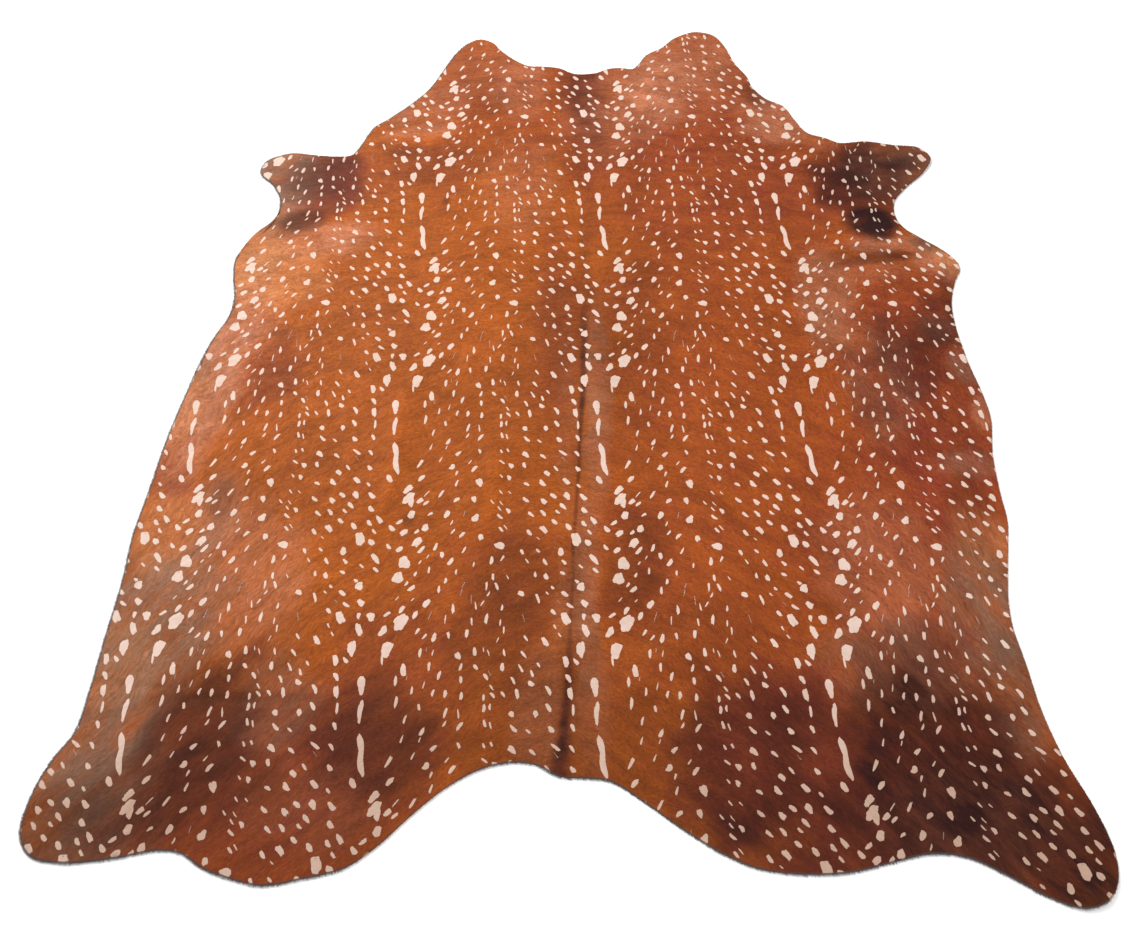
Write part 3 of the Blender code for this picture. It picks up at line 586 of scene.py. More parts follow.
class Hide:
    """The hide's rim and the net of its flat part, worked out once and shared by the pieces."""

    def __init__(self):
        stretches = {name: np.array(places) for name, places in OUTLINE.items()}
        places = np.concatenate(list(stretches.values()))
        line = smooth_rim(places, SOLID_STEP)
        middle = (line.min(axis=0) + line.max(axis=0)) / 2
        line = smooth_rim(places - middle, RIM_STEP)
        tips = [stretches[name][number] - middle for name, number in LEG_TIPS]
        tips = [int(np.argmin(np.linalg.norm(line - tip, axis=1))) for tip in tips]
        line, tips = np.roll(line, -tips[0], axis=0), np.mod(np.subtract(tips, tips[0]), len(line))
        closed = np.concatenate([line, line[:1]])
        ends = [*tips[1:], len(line)]
        top, right, bottom, left = (closed[start : end + 1] for start, end in zip(tips, ends))
        sides = [
            spread(bottom[::-1], NET_COLUMNS, 0),
            spread(right[::-1], NET_ROWS, 1),
            spread(top, NET_COLUMNS, 0)[::-1],
            spread(left, NET_ROWS, 1)[::-1],
        ]
        self.line = line[::-1]
        self.line_outward = outward(self.line)
        self.rim = np.concatenate([side[:-1] for side in sides])
        self.outward = outward(self.rim)
        inner = self.rim - COAT_EDGE[0][0] * self.outward
        inner = np.concatenate([inner, inner[:1]])
        starts = np.cumsum([0, NET_COLUMNS, NET_ROWS, NET_COLUMNS, NET_ROWS])
        bottom, right, top, left = (inner[a : b + 1] for a, b in zip(starts, starts[1:]))
        self.net = blend_sides(bottom, right, top[::-1], left[::-1])
        self.loop = border(*self.net.shape[:2])

    def depth(self, points):
        """How far each point lies inside the rim, negative outside it, and the rim's nearest point."""
        nearest = np.concatenate(
            [
                np.argmin(((part[:, None] - self.line[None]) ** 2).sum(axis=2), axis=1)
                for part in np.array_split(points, 1 + len(points) // BATCH)
            ]
        )
        return ((self.line[nearest] - points) * self.line_outward[nearest]).sum(axis=1), nearest


@cache
def hide_shape():
    """The one Hide that every piece is made on."""
    return Hide()


def ripple(points, wavelength, seed, waves=9):
    """Uneven waves of about this length: sines that run in many directions, with mean 0 and spread 1."""
    rng = np.random.default_rng(seed)
    turn, start = rng.uniform(0, 2 * np.pi, (2, waves))
    pitch = wavelength * rng.uniform(0.6, 1.7, waves)
    along = points[..., :1] * np.cos(turn) + points[..., 1:2] * np.sin(turn)
    return np.sin(2 * np.pi * along / pitch + start).sum(axis=-1) / np.sqrt(waves / 2)


def smooth_step(value):
    """3 v^2 - 2 v^3, with v held between 0 and 1."""
    value = np.clip(value, 0, 1)
    return value * value * (3 - 2 * value)


def fold_height(points):
    """The sum of the folds: h (1 - (d / r)^2)^2 at a distance d under r from a fold's line, and 0 past r."""
    height = np.zeros(len(points))
    for _name, start, end, reach, rise in FOLDS:
        start, along = np.array(start), np.subtract(end, start)
        least = reach * reach / 100  # for a round swell, whose two ends are one place
        share = (points - start) @ along / max(along @ along, least)
        nearest = start + np.clip(share, 0, 1)[:, None] * along
        distance = np.linalg.norm(points - nearest, axis=1)
        height += rise * np.clip(1 - (distance / reach) ** 2, 0, None) ** 2
    return height


def crease_height(points):
    """The sum of the creases: a bell curve across each bowed line, which fades out towards its two ends."""
    height = np.zeros(len(points))
    for _name, start, end, bow, half_width, rise in CREASES:
        along = np.subtract(end, start)
        length = np.linalg.norm(along)
        along = along / length
        share = (points - start) @ along / length
        off = (points - start) @ (-along[1], along[0]) - 4 * bow * share * (1 - share)
        fade = smooth_step(CREASE_FADE * np.clip(share * (1 - share), 0, None))
        height += rise * fade * np.exp(-((off / half_width) ** 2))
    return height


def coat_height(points, level=1.0):
    """The height of a layer of the sheet: its underside at level 0, the top of the coat at level 1."""
    folds, creases = fold_height(points), crease_height(points)
    pile = bpy.context.scene.cowhide_sizes.unevenness * ripple(points, wavelength=0.07, seed=3)
    under = folds + np.clip(creases, 0, None)
    return (1 - level) * under + level * (folds + creases + pile + SHEET)


def hair_lie(points):
    """Across and along the hide as the hair lies: x, and y + k |x|^p, where k grows from neck to tail.

    A line on which the second one stays the same is a line of hair, so hair runs level on the back and fans
    out and down on the hind legs.
    """
    x, y = points[:, 0], points[:, 1]
    k = FAN_AT_NECK + FAN_GROWTH * smooth_step((FAN_START - y) / FAN_LENGTH)
    sway = LIE_SWAY * ripple(points, wavelength=0.30, seed=5)
    return np.stack([x, y + k * np.abs(x) ** FAN_POWER + sway, np.zeros(len(points))], axis=1)


def coat_tones(points):
    """The strength of each natural tone, a column each: soft ellipses with wandering edges, laid in turn."""
    wander = np.stack([ripple(points, wavelength=0.15, seed=seed) for seed in (7, 8)], axis=1)
    short = np.stack([ripple(points, wavelength=0.05, seed=seed) for seed in (9, 10)], axis=1)
    wander += SHORT_WANDER * short
    tones = []
    for rows in PATCHES.values():
        bare = np.ones(len(points))
        for _name, x, y, half_width, half_height, lean, strength in rows:
            c, s = cos(radians(lean)), sin(radians(lean))
            off = points + PATCH_WANDER * min(half_width, half_height) * wander - (x, y)
            across = (off[:, 0] * c + off[:, 1] * s) / half_width
            along = (off[:, 1] * c - off[:, 0] * s) / half_height
            bare *= 1 - strength * smooth_step(PATCH_FULLNESS * (1 - across**2 - along**2))
        tones.append(1 - bare)
    return np.stack(tones, axis=1)


def spine_line(points):
    """How far each point is to the right of the spine's line, and its half width and strength there."""
    rows = np.array(SPINE)
    middle, half_width, strength = (np.interp(points[:, 1], rows[:, 0], column) for column in rows.T[1:])
    sway = SPINE_SWAY * ripple(points * (0, 1), wavelength=0.11, seed=31)
    return np.stack([points[:, 0] - middle + sway, half_width, strength], axis=1)


def coat_attributes(points):
    """What the hair's colours read at these places.

    They are how the hair lies, the natural tones, the golden one by itself, the spine's line and the height
    of the creases, as a share of the highest one's; it gives their painted shade and highlight.
    """
    tones = coat_tones(points)
    return {
        "hair_lie": hair_lie(points),
        "coat_tones": tones[:, :4],
        "golden": tones[:, 4],
        "spine_line": spine_line(points),
        "crease": crease_height(points) / max(row[-1] for row in CREASES),
    }


def print_attributes(points, share):
    """The same for printed hair, with each point's share of print and how far the print is darkened there.

    It is duller where the coat under it is dark, and past the loin it grows darker towards the tail: painted
    shade.
    """
    attributes = coat_attributes(points)
    past_loin = smooth_step((LOIN - points[:, 1]) / LOIN_LENGTH)
    dulled_and_shaded = DULLED_BY_DARK * attributes["coat_tones"][:, 3] + SHADE_PAST_LOIN * past_loin
    dulled_and_shaded += DULLED_WAVES * ripple(points, wavelength=0.30, seed=21)
    return attributes | {"printed": share, "dulled_and_shaded": np.clip(dulled_and_shaded, 0, 1)}


def rim_shadow(outward_way):
    """Painted shadow on the hair's tips along the rim: most where it faces left or down, least up right."""
    return LEAST_RIM_SHADOW + (1 - LEAST_RIM_SHADOW) * smooth_step(0.5 - outward_way @ RIM_SHADOW_AWAY)


def make_piece(name, points, faces, flat, attributes, material):
    """A mesh object at the origin, with point attributes and a plan-like map that fills the unit square."""
    mesh = bpy.data.meshes.new(name)
    mesh.from_pydata(points.tolist(), [], [face for group in faces for face in group.tolist()])
    for key, values in attributes.items():
        kind, field = KINDS[1 if values.ndim == 1 else values.shape[1]]
        attribute = mesh.attributes.new(key, kind, "POINT")
        attribute.data.foreach_set(field, np.asarray(values, np.float32).ravel())
    corner = np.empty(len(mesh.loops), np.int32)
    mesh.loops.foreach_get("vertex_index", corner)
    low, high = flat.min(axis=0), flat.max(axis=0)
    places = MAP_MARGIN + (1 - 2 * MAP_MARGIN) * (flat - low) / (high - low)
    mesh.uv_layers.new(name="OFBake").data.foreach_set("uv", places[corner].astype(np.float32).ravel())
    mesh.shade_smooth()
    mesh.materials.append(material)
    piece = bpy.data.objects.new(name, mesh)
    bpy.context.scene.collection.objects.link(piece)
    return piece


def skin(hide, edge, layer, attributes_of):
    """Points, faces, plan and attributes of one skin: the net, then a ring for each step of its edge.

    The attribute cut_edge is 0 on the net, less than full on the first ring and 1 on those past it.
    """
    rows, columns = hide.net.shape[:2]
    flat = [hide.net.reshape(-1, 2)]
    plan, level, way = list(flat), [np.full(rows * columns, layer)], 0.0
    for (inset, low), (next_inset, high) in zip(edge, edge[1:]):
        way += np.hypot(inset - next_inset, high - low)
        flat.append(hide.rim - next_inset * hide.outward)
        plan.append(hide.rim + (way - edge[0][0]) * hide.outward)
        level.append(np.full(len(hide.rim), high / SHEET))
    flat, plan, level = np.concatenate(flat), np.concatenate(plan), np.concatenate(level)
    points = np.column_stack([flat, coat_height(flat, level)])
    index = np.arange(rows * columns).reshape(rows, columns)
    cells = [index[:-1, :-1], index[:-1, 1:], index[1:, 1:], index[1:, :-1]]
    faces = [np.stack(cells, axis=-1).reshape(-1, 4)]
    inner = hide.loop
    for number in range(len(edge) - 1):
        outer = rows * columns + number * len(hide.rim) + np.arange(len(hide.rim))
        faces.append(np.stack([inner, outer, np.roll(outer, -1), np.roll(inner, -1)], axis=1))
        inner = outer
    attributes = attributes_of(flat)
    share = np.repeat([FIRST_RING_EDGE] + [1.0] * (len(edge) - 2), len(hide.rim))
    attributes["cut_edge"] = np.concatenate([np.zeros(rows * columns), share])
    return points, faces, plan, attributes


def spot_rings(chart, count, grow, skew, seed):
    """Rings of the chart's spots round their own middles, in metres, each wider by grow on every side.

    Each is a superellipse (l cos^a t, w sin^a t), a little pointed or full by chance, with one end heavier
    than the other, a slight bow, a wavy rim and a slant that the skew limits, turned by the spot's lean.
    """
    rng = np.random.default_rng(seed)
    fullness, heavy, phase_3, phase_5, bow, slant = rng.uniform(-1, 1, (6, len(chart), 1))
    jitter = rng.uniform(-1, 1, (len(chart), count))
    length, width = (chart[:, 2:4] / 1000).T[..., None]
    lean = np.radians(chart[:, 4:5])
    turn = np.linspace(0, 2 * np.pi, count, endpoint=False)
    power = SPOT_POWER + POWER_CHANCE * fullness
    along = np.sign(np.cos(turn)) * np.abs(np.cos(turn)) ** power
    across = np.sign(np.sin(turn)) * np.abs(np.sin(turn)) ** power * (1 + HEAVY_END * heavy * along)
    wave = 1 + WAVE_3 * np.sin(3 * turn + 3 * phase_3) + WAVE_5 * np.sin(5 * turn + 3 * phase_5)
    wave += JITTER * jitter
    bent = along**2 - 0.4  # 0.4 is about the mean of the square, so a bow leaves a spot where it is
    q = across * wave * (width / 2 + grow) + SPOT_BOW * bow * width * bent
    p = along * wave * (length / 2 + grow) + skew * slant * q
    return np.stack([p * np.sin(lean) + q * np.cos(lean), q * np.sin(lean) - p * np.cos(lean)], axis=-1)


def streak_rings(count, grow):
    """The same for the long streak: its width runs along a line that bends through the streak's own rows."""
    across, down, width = np.array(LONG_STREAK, float).T
    turn = np.linspace(0, 2 * np.pi, count, endpoint=False)
    place = down.mean() + (np.ptp(down) / 2 + 1000 * grow) * np.cos(turn)
    half = np.interp(place, down, width) / 2 + 1000 * grow
    x = np.interp(place, down, across) + np.sign(np.sin(turn).round(6)) * half
    return np.stack([x, STREAK_SPOT[1] - place], axis=-1)[None] / 1000


def spot_faces(count, rings):
    """Faces of one spot: bands between its rings, and strips from side to side that close the inner one."""
    index = np.arange(count)
    after = (index + 1) % count
    bands = [
        np.stack([outer + count + index, outer + index, outer + after, outer + count + after], axis=1)
        for outer in range(0, (rings - 1) * count, count)
    ]
    last, half = (rings - 1) * count, count // 2
    left, right = np.arange(1, half), count - np.arange(1, half)
    strips = np.stack([left[:-1], left[1:], right[1:], right[:-1]], axis=1) + last
    ends = np.array([(0, 1, count - 1), (half - 1, half, half + 1)]) + last
    return np.concatenate([*bands, strips]), ends


def spread_print(hide, rings, start):
    """Copies of the rings over the whole hide, cut off at its rim, as (rings, copies, points, 2)."""
    sizes = bpy.context.scene.cowhide_print
    low, high = hide.line.min(axis=0), hide.line.max(axis=0)
    numbers = np.arange(-REPEATS, REPEATS + 1)
    steps = np.stack(np.meshgrid(numbers, numbers), axis=-1).reshape(-1, 2)
    steps = steps * np.array([sizes.repeat_width, sizes.repeat_length])
    middles = (start[None] + steps[:, None] + PRINT_START).reshape(-1, 2)
    which = np.tile(np.arange(len(start)), len(steps))
    near = ((middles > low - PAST_BOX) & (middles < high + PAST_BOX)).all(axis=1)
    middles, which = middles[near], which[near]
    depth = hide.depth(middles)[0]
    middles, which, depth = (part[depth > -PAST_RIM] for part in (middles, which, depth))
    points = middles[None, :, None] + rings[:, which]
    at_rim = np.flatnonzero(depth < RIM_ZONE)
    part = points[:, at_rim]
    inside, nearest = hide.depth(part.reshape(-1, 2))
    shift = np.clip(sizes.rim_gap - inside, 0, None)[:, None] * hide.line_outward[nearest]
    points[:, at_rim] = part - shift.reshape(part.shape)
    kept = np.ones(len(which), bool)
    kept[at_rim] = (inside.reshape(part.shape[:3])[0] > 0).sum(axis=1) > POINTS_LOST
    return points[:, kept]


def print_pieces(hide):
    """Points, faces and each point's share of print, for the small spots, the big ones and the streaks."""
    soft, creep = bpy.context.scene.cowhide_print.soft_edge, bpy.context.scene.cowhide_print.creep
    small_creep = SMALL_CREEP * creep
    small_grow = (soft - small_creep, -soft - small_creep)
    big_grow = (soft - creep, -soft - creep, BIG_CORE)
    lots = []
    for rows, count, grows, skew, seed in (
        (SPOTS, SMALL_POINTS, small_grow, SMALL_SKEW, PRINT_SEED),
        (BIG_SPOTS, BIG_POINTS, big_grow, BIG_SKEW, PRINT_SEED + 1),
    ):
        chart = np.array(rows, float)
        rings = np.stack([spot_rings(chart, count, grow, skew, seed) for grow in grows])
        lots.append((rings, chart[:, :2] / (1000, -1000)))
    streak = np.stack([streak_rings(STREAK_POINTS, grow) for grow in small_grow])
    lots.append((streak, np.zeros((1, 2))))
    points, quads, ends, share, first = [], [], [], [], 0
    for rings, start in lots:
        laid = spread_print(hide, rings, start)
        rings_count, copies, count = laid.shape[:3]
        laid = laid.transpose(1, 0, 2, 3).reshape(-1, 2)
        quad, end = spot_faces(count, rings_count)
        offsets = first + np.arange(copies)[:, None, None] * rings_count * count
        quads.append((quad + offsets).reshape(-1, 4))
        ends.append((end + offsets).reshape(-1, 3))
        points.append(laid)
        share.append(np.tile(np.repeat([0.0] + [1.0] * (rings_count - 1), count), copies))
        first += len(laid)
    return np.concatenate(points), [np.concatenate(quads), np.concatenate(ends)], np.concatenate(share)


def printed_at(points):
    """1 where a point lies in one of the print's spots, 0 elsewhere: the spots stand for ellipses here."""
    sizes = bpy.context.scene.cowhide_print
    pitch = np.array([sizes.repeat_width, sizes.repeat_length])
    found = np.zeros(len(points))
    for across, down, length, width, lean in (*SPOTS, *BIG_SPOTS, STREAK_SPOT):
        along = np.array([sin(radians(lean)), -cos(radians(lean))])
        off = points - PRINT_START - (across / 1000, -down / 1000)
        off -= pitch * np.round(off / pitch)
        in_halves = 2000  # the chart's whole sizes in millimetres, against half sizes in metres
        reach = np.hypot(off @ along / length, off @ (-along[1], along[0]) / width) * in_halves
        found = np.maximum(found, reach < 1)
    return found


def fringe_locks(hide, count):
    """Locks of hair that lie out over the cut edge: five points each, root and middle in pairs and one tip.

    Each goes from a place just inside the rim, by the outward normal bent towards the lie of the hair, rises
    a little and then droops past the edge. Its pairs stand on both sides of that line, half a width away.
    Where the rim's painted shadow is darker, locks are longer and take more of its slate, so the painted
    shadow spreads past the edge.
    """
    rng = np.random.default_rng(FRINGE_SEED)
    along, inset, turn, more, wide, droop = rng.uniform(0, 1, (6, count, 1))
    place = np.mod((np.arange(count) + along[:, 0]) * len(hide.line) / count, len(hide.line))
    first, share = place.astype(int), (place % 1)[:, None]
    second = (first + 1) % len(hide.line)
    rim = hide.line[first] * (1 - share) + hide.line[second] * share
    normal = hide.line_outward[first] * (1 - share) + hide.line_outward[second] * share
    root = rim - (ROOT_INSET + ROOT_INSET_CHANCE * inset) * normal
    # The rim's painted shadow at each lock's root.
    dark = rim_shadow(normal)[:, None]
    step = 0.002  # metres, over which the lie's slope is taken
    slope = [hair_lie(root + off)[:, 1] - hair_lie(root)[:, 1] for off in ((step, 0), (0, step))]
    lie = np.stack([slope[1], -slope[0]], axis=1) * np.sign(root[:, :1]) / step
    tangent = np.stack([-normal[:, 1], normal[:, 0]], axis=1)
    way = BY_NORMAL * normal + BY_LIE * lie + BY_CHANCE * (turn - 0.5) * tangent
    way += np.clip(LEAST_OUT - (way * normal).sum(axis=1, keepdims=True), 0, None) * normal
    way /= np.linalg.norm(way, axis=1, keepdims=True)
    length = LOCK_LENGTH + SHADOWED_LENGTH * dark + (LENGTH_CHANCE + SHADOWED_LENGTH_CHANCE * dark) * more**2
    side = np.stack([-way[:, 1], way[:, 0]], axis=1) * (LOCK_HALF_WIDTH + LOCK_HALF_WIDTH * wide)
    middle, tip = root + MIDDLE_PLACE * length * way, root + length * way
    inner = MIDDLE_WIDTH * side
    flat = np.stack([root - side, root + side, middle - inner, middle + inner, tip], axis=1)
    base = coat_height(root, ROOT_LEVEL)[:, None]
    out = np.clip(((tip - rim) * normal).sum(axis=1, keepdims=True), 0, None)
    tip_height = np.clip(base - LOCK_RISE - (DROOP + DROOP_CHANCE * droop) * out, LOCK_RISE, None)
    heights = np.concatenate([base, base, base + LOCK_RISE, base + LOCK_RISE, tip_height], axis=1)
    points = np.concatenate([flat, heights[..., None]], axis=2).reshape(-1, 3)
    index = len(LOCK_SHADOW) * np.arange(count)[:, None]
    faces = [index + (0, 2, 3, 1), index + (2, 4, 3)]
    attributes = print_attributes(root, printed_at(root))
    attributes["hair_lie"] += rng.uniform(-1, 1, (count, 3))
    attributes = {key: np.repeat(values, len(LOCK_SHADOW), axis=0) for key, values in attributes.items()}
    # Painted shadow: the rim's slate on each lock, less at its root.
    attributes["cut_edge"] = (dark * LOCK_SHADOW).ravel()
    return points, faces, flat.reshape(-1, 2), attributes


class Steps:
    """Adds nodes to one tree, so that a material reads as a list of its steps."""

    def __init__(self, tree):
        self.tree = tree

    def connect(self, node, inputs):
        """Link each of these sockets to the node's input of that name, and set each value on it."""
        for key, value in inputs.items():
            if isinstance(value, bpy.types.NodeSocket):
                self.tree.links.new(value, node.inputs[key])
            else:
                node.inputs[key].default_value = value

    def add(self, kind, inputs=None, **settings):
        """A new node with these settings and inputs."""
        node = self.tree.nodes.new(kind)
        for key, value in settings.items():
            setattr(node, key, value)
        self.connect(node, inputs or {})
        return node

    def group(self, name, make, inputs):
        """The outputs of the group of this name, made by the first material that needs it."""
        tree = bpy.data.node_groups.get(name) or make()
        return self.add("ShaderNodeGroup", inputs, node_tree=tree).outputs

    def maths(self, operation, first, second=0.0, clamp=False):
        """One step of arithmetic."""
        settings = {"operation": operation, "use_clamp": clamp}
        return self.add("ShaderNodeMath", {0: first, 1: second}, **settings).outputs[0]

    def times(self, first, second):
        """The product."""
        return self.maths("MULTIPLY", first, second)

    def plus(self, first, second, clamp=False):
        """The sum, held between 0 and 1 if clamp is set."""
        return self.maths("ADD", first, second, clamp)

    def between(self, value, low, high, to_low=0.0, to_high=1.0):
        """The value's place between low and high, held to that range and eased at both ends."""
        inputs = {"Value": value, "From Min": low, "From Max": high, "To Min": to_low, "To Max": to_high}
        return self.add("ShaderNodeMapRange", inputs, interpolation_type="SMOOTHSTEP").outputs[0]

    def mix(self, share, first, second, blend="MIX"):
        """The share of the second colour in the first."""
        inputs = {0: share, 6: first, 7: second}
        return self.add("ShaderNodeMix", inputs, data_type="RGBA", blend_type=blend).outputs[2]

    def shaded(self, colour, shade):
        """The colour, multiplied by a grey of this shade."""
        grey = self.add("ShaderNodeCombineColor", {0: shade, 1: shade, 2: shade}).outputs[0]
        return self.mix(1.0, colour, grey, "MULTIPLY")

    def moved(self, vector, offset):
        """The vector with an offset added to it."""
        return self.add("ShaderNodeVectorMath", {0: vector, 1: offset}, operation="ADD").outputs[0]

    def stretched(self, vector, along, across):
        """The vector scaled so that a noise of scale 1 repeats this often in a metre each way."""
        scale = (along, across, 1.0)
        return self.add("ShaderNodeVectorMath", {0: vector, 1: scale}, operation="MULTIPLY").outputs[0]

    def noise(self, place, scale=1.0, detail=2.0, roughness=0.5, distortion=0.0):
        """A soft noise from 0 to 1."""
        inputs = {"Vector": place, "Scale": scale, "Detail": detail, "Roughness": roughness}
        return self.add("ShaderNodeTexNoise", inputs | {"Distortion": distortion}).outputs["Fac"]

    def attribute(self, name, output="Fac"):
        """What the piece's points say under this name."""
        return self.add("ShaderNodeAttribute", attribute_name=name).outputs[output]

    def place(self):
        """The object's own coordinates."""
        return self.add("ShaderNodeTexCoord").outputs["Object"]

    def bump(self, height):
        """The normal of a relief whose height is in metres."""
        return self.add("ShaderNodeBump", {"Height": height, "Distance": 1.0, "Strength": 1.0}).outputs[0]


def shared_group(name, inputs, outputs):
    """A new node group with these sockets, as (tree, its steps, its input sockets, its output node)."""
    tree = bpy.data.node_groups.new(name, "ShaderNodeTree")
    for direction, sockets in (("INPUT", inputs), ("OUTPUT", outputs)):
        for label, kind in sockets.items():
            tree.interface.new_socket(label, in_out=direction, socket_type=f"NodeSocket{kind}")
    steps = Steps(tree)
    return tree, steps, steps.add("NodeGroupInput").outputs, steps.add("NodeGroupOutput")


def hair_strokes():
    """Hair seen as strokes drawn out along its lie, which turns a little from place to place.

    Each kind is a noise stretched along the hair: Fine for the single hairs, Tufts for a few of them side by
    side, Locks 7 mm wide, and Flecks, short and broad, for the pigment. Relief adds up their shares.
    """
    outputs = dict.fromkeys((*STROKES, "Relief"), "Float")
    tree, steps, given, out = shared_group("Hair Strokes", {"Place": "Vector", "Lie": "Vector"}, outputs)
    turn = steps.noise(given["Place"], scale=17.0, detail=3.0, roughness=0.6)
    turn = steps.between(turn, 0.2, 0.8, -LIE_TURN, LIE_TURN)
    lie = steps.moved(given["Lie"], steps.add("ShaderNodeCombineXYZ", {1: turn}).outputs[0])
    relief = 0.0
    for stroke, (along, across, detail, roughness, distortion, in_relief, _dark, _light) in STROKES.items():
        noise = steps.noise(steps.stretched(lie, along, across), 1.0, detail, roughness, distortion)
        steps.connect(out, {stroke: noise})
        if in_relief:
            relief = steps.plus(steps.times(noise, in_relief), relief)
    steps.connect(out, {"Relief": relief})
    return tree


def coat_colour():
    """The coat's natural colours: a tone shows where its strength, broken up by mottling and locks, lets it.

    Each tone has mottling of its own. Small patches are redder throughout. Troughs of the creases get painted
    shade and their ridges a painted highlight.
    """
    inputs = {"Place": "Vector", "Lie": "Vector", "Spine Line": "Vector", "Crease": "Float"}
    inputs |= dict.fromkeys((*STROKES, *TONES), "Float")
    inputs |= {f"{tone} Colour": "Color" for tone in ("Ground", *TONES, "Spine")}
    tree, steps, given, out = shared_group("Coat Colour", inputs, {"Colour": "Color"})
    mottle = steps.noise(steps.stretched(given["Lie"], 9, 27), detail=5.0, roughness=0.62, distortion=0.3)
    broad = steps.stretched(given["Lie"], 11, 19)
    small = steps.noise(steps.stretched(given["Lie"], 22, 55), detail=3.0, roughness=0.6, distortion=0.4)
    redder = steps.between(small, 0.36, 0.66, -0.04, 0.20)
    colour = given["Ground Colour"]
    for number, (tone, least) in enumerate(TONES.items()):
        own = steps.moved(broad, (0.0, 0.0, 5.0 * number))  # so far apart that no two tones look alike
        breaks = steps.noise(own, detail=4.0, roughness=0.60, distortion=0.3)
        breaks = steps.plus(steps.times(breaks, 0.7), steps.times(given["Locks"], 0.3))
        strength = given[tone]
        if tone == "Rust":
            strength = steps.plus(strength, redder, clamp=True)
        strength = steps.times(strength, steps.between(breaks, 0.36, 0.62, least, 2.02 - least))
        colour = steps.mix(steps.maths("MINIMUM", strength, 1.0), colour, given[f"{tone} Colour"])
    aside, half_width, full = steps.add("ShaderNodeSeparateXYZ", {0: given["Spine Line"]}).outputs
    off = steps.maths("DIVIDE", steps.maths("ABSOLUTE", aside), half_width)
    spine = steps.times(steps.between(off, 2.0, 0.2), full)
    spine = steps.times(spine, steps.between(mottle, 0.34, 0.60, 1.0, 0.76))
    colour = steps.mix(spine, colour, given["Spine Colour"])
    blotch = steps.noise(given["Place"], scale=5.0, detail=3.0, roughness=0.55)
    shade = steps.between(blotch, 0.35, 0.65, 0.93, 1.07)
    shade = steps.times(shade, steps.between(mottle, 0.30, 0.62, 0.83, 1.10))
    # Painted shade in the creases' troughs and a painted highlight on their ridges.
    shade = steps.times(shade, steps.between(given["Crease"], -1.0, 1.0, 0.74, 1.14))
    for stroke, (*_noise, dark, light) in STROKES.items():
        shade = steps.times(shade, steps.between(given[stroke], 0.28, 0.72, dark, light))
    steps.connect(out, {"Colour": steps.shaded(colour, shade)})
    return tree


def opaque(colour):
    """The colour with full alpha."""
    return (*colour, 1.0)


def new_material(name):
    """A material, the steps that add nodes to it, and its shader."""
    material = bpy.data.materials.new(name)
    material.use_nodes = True
    return material, Steps(material.node_tree), material.node_tree.nodes["Principled BSDF"]


def hair_material(name, printed):
    """Hair that lies flat.

    Where printed is set, the attribute of that name bleaches it, hair by hair at a spot's rim.
    """
    colours = bpy.context.scene.cowhide_colours
    material, steps, shader = new_material(name)
    place, lie = steps.place(), steps.attribute("hair_lie", "Vector")
    strokes = steps.group("Hair Strokes", hair_strokes, {"Place": place, "Lie": lie})
    tones = steps.add("ShaderNodeAttribute", attribute_name="coat_tones").outputs
    parts = steps.add("ShaderNodeSeparateColor", {0: tones["Color"]}).outputs
    inputs = {"Place": place, "Lie": lie, "Spine Line": steps.attribute("spine_line", "Vector")}
    inputs |= {"Crease": steps.attribute("crease")} | {stroke: strokes[stroke] for stroke in STROKES}
    inputs |= dict(zip(TONES, (*parts, tones["Alpha"], steps.attribute("golden"))))
    for tone in ("Ground", *TONES, "Spine"):
        inputs[f"{tone} Colour"] = opaque(getattr(colours, tone.lower()))
    colour = steps.group("Coat Colour", coat_colour, inputs)["Colour"]
    roughness = steps.between(strokes["Locks"], 0.3, 0.7, 0.62, 0.46)
    if printed:
        ragged = steps.between(strokes["Fine"], 0.25, 0.75, -0.28, 0.28)
        bleached = steps.between(steps.plus(steps.attribute("printed"), ragged), 0.36, 0.64)
        # Print over dark hair is duller; past the loin it is darker towards the tail as painted shade.
        dulled_and_shaded = steps.attribute("dulled_and_shaded")
        pale = steps.mix(dulled_and_shaded, opaque(colours.print_light), opaque(colours.print_dulled_and_shaded))
        pale = steps.shaded(pale, steps.between(strokes["Relief"], 0.30, 0.70, 0.84, 1.08))
        colour = steps.mix(bleached, colour, pale)
        roughness = steps.plus(roughness, steps.times(bleached, 0.12))
    # Painted shadow: slate along the rim where cut_edge says, darkest where the rim faces left and down.
    colour = steps.mix(steps.attribute("cut_edge"), colour, opaque(colours.rim))
    swell = steps.noise(place, scale=38.0)
    height = steps.plus(steps.times(strokes["Relief"], HAIR_RELIEF), steps.times(swell, SWELL_RELIEF))
    settings = {"Base Color": colour, "Roughness": roughness, "Normal": steps.bump(height)}
    settings |= {"Specular IOR Level": 0.15, "Specular Tint": (1.0, 0.62, 0.40, 1.0)}
    settings |= {"Sheen Weight": 0.02, "Sheen Roughness": 0.45, "Sheen Tint": (1.0, 0.86, 0.72, 1.0)}
    steps.connect(shader, settings)
    return material


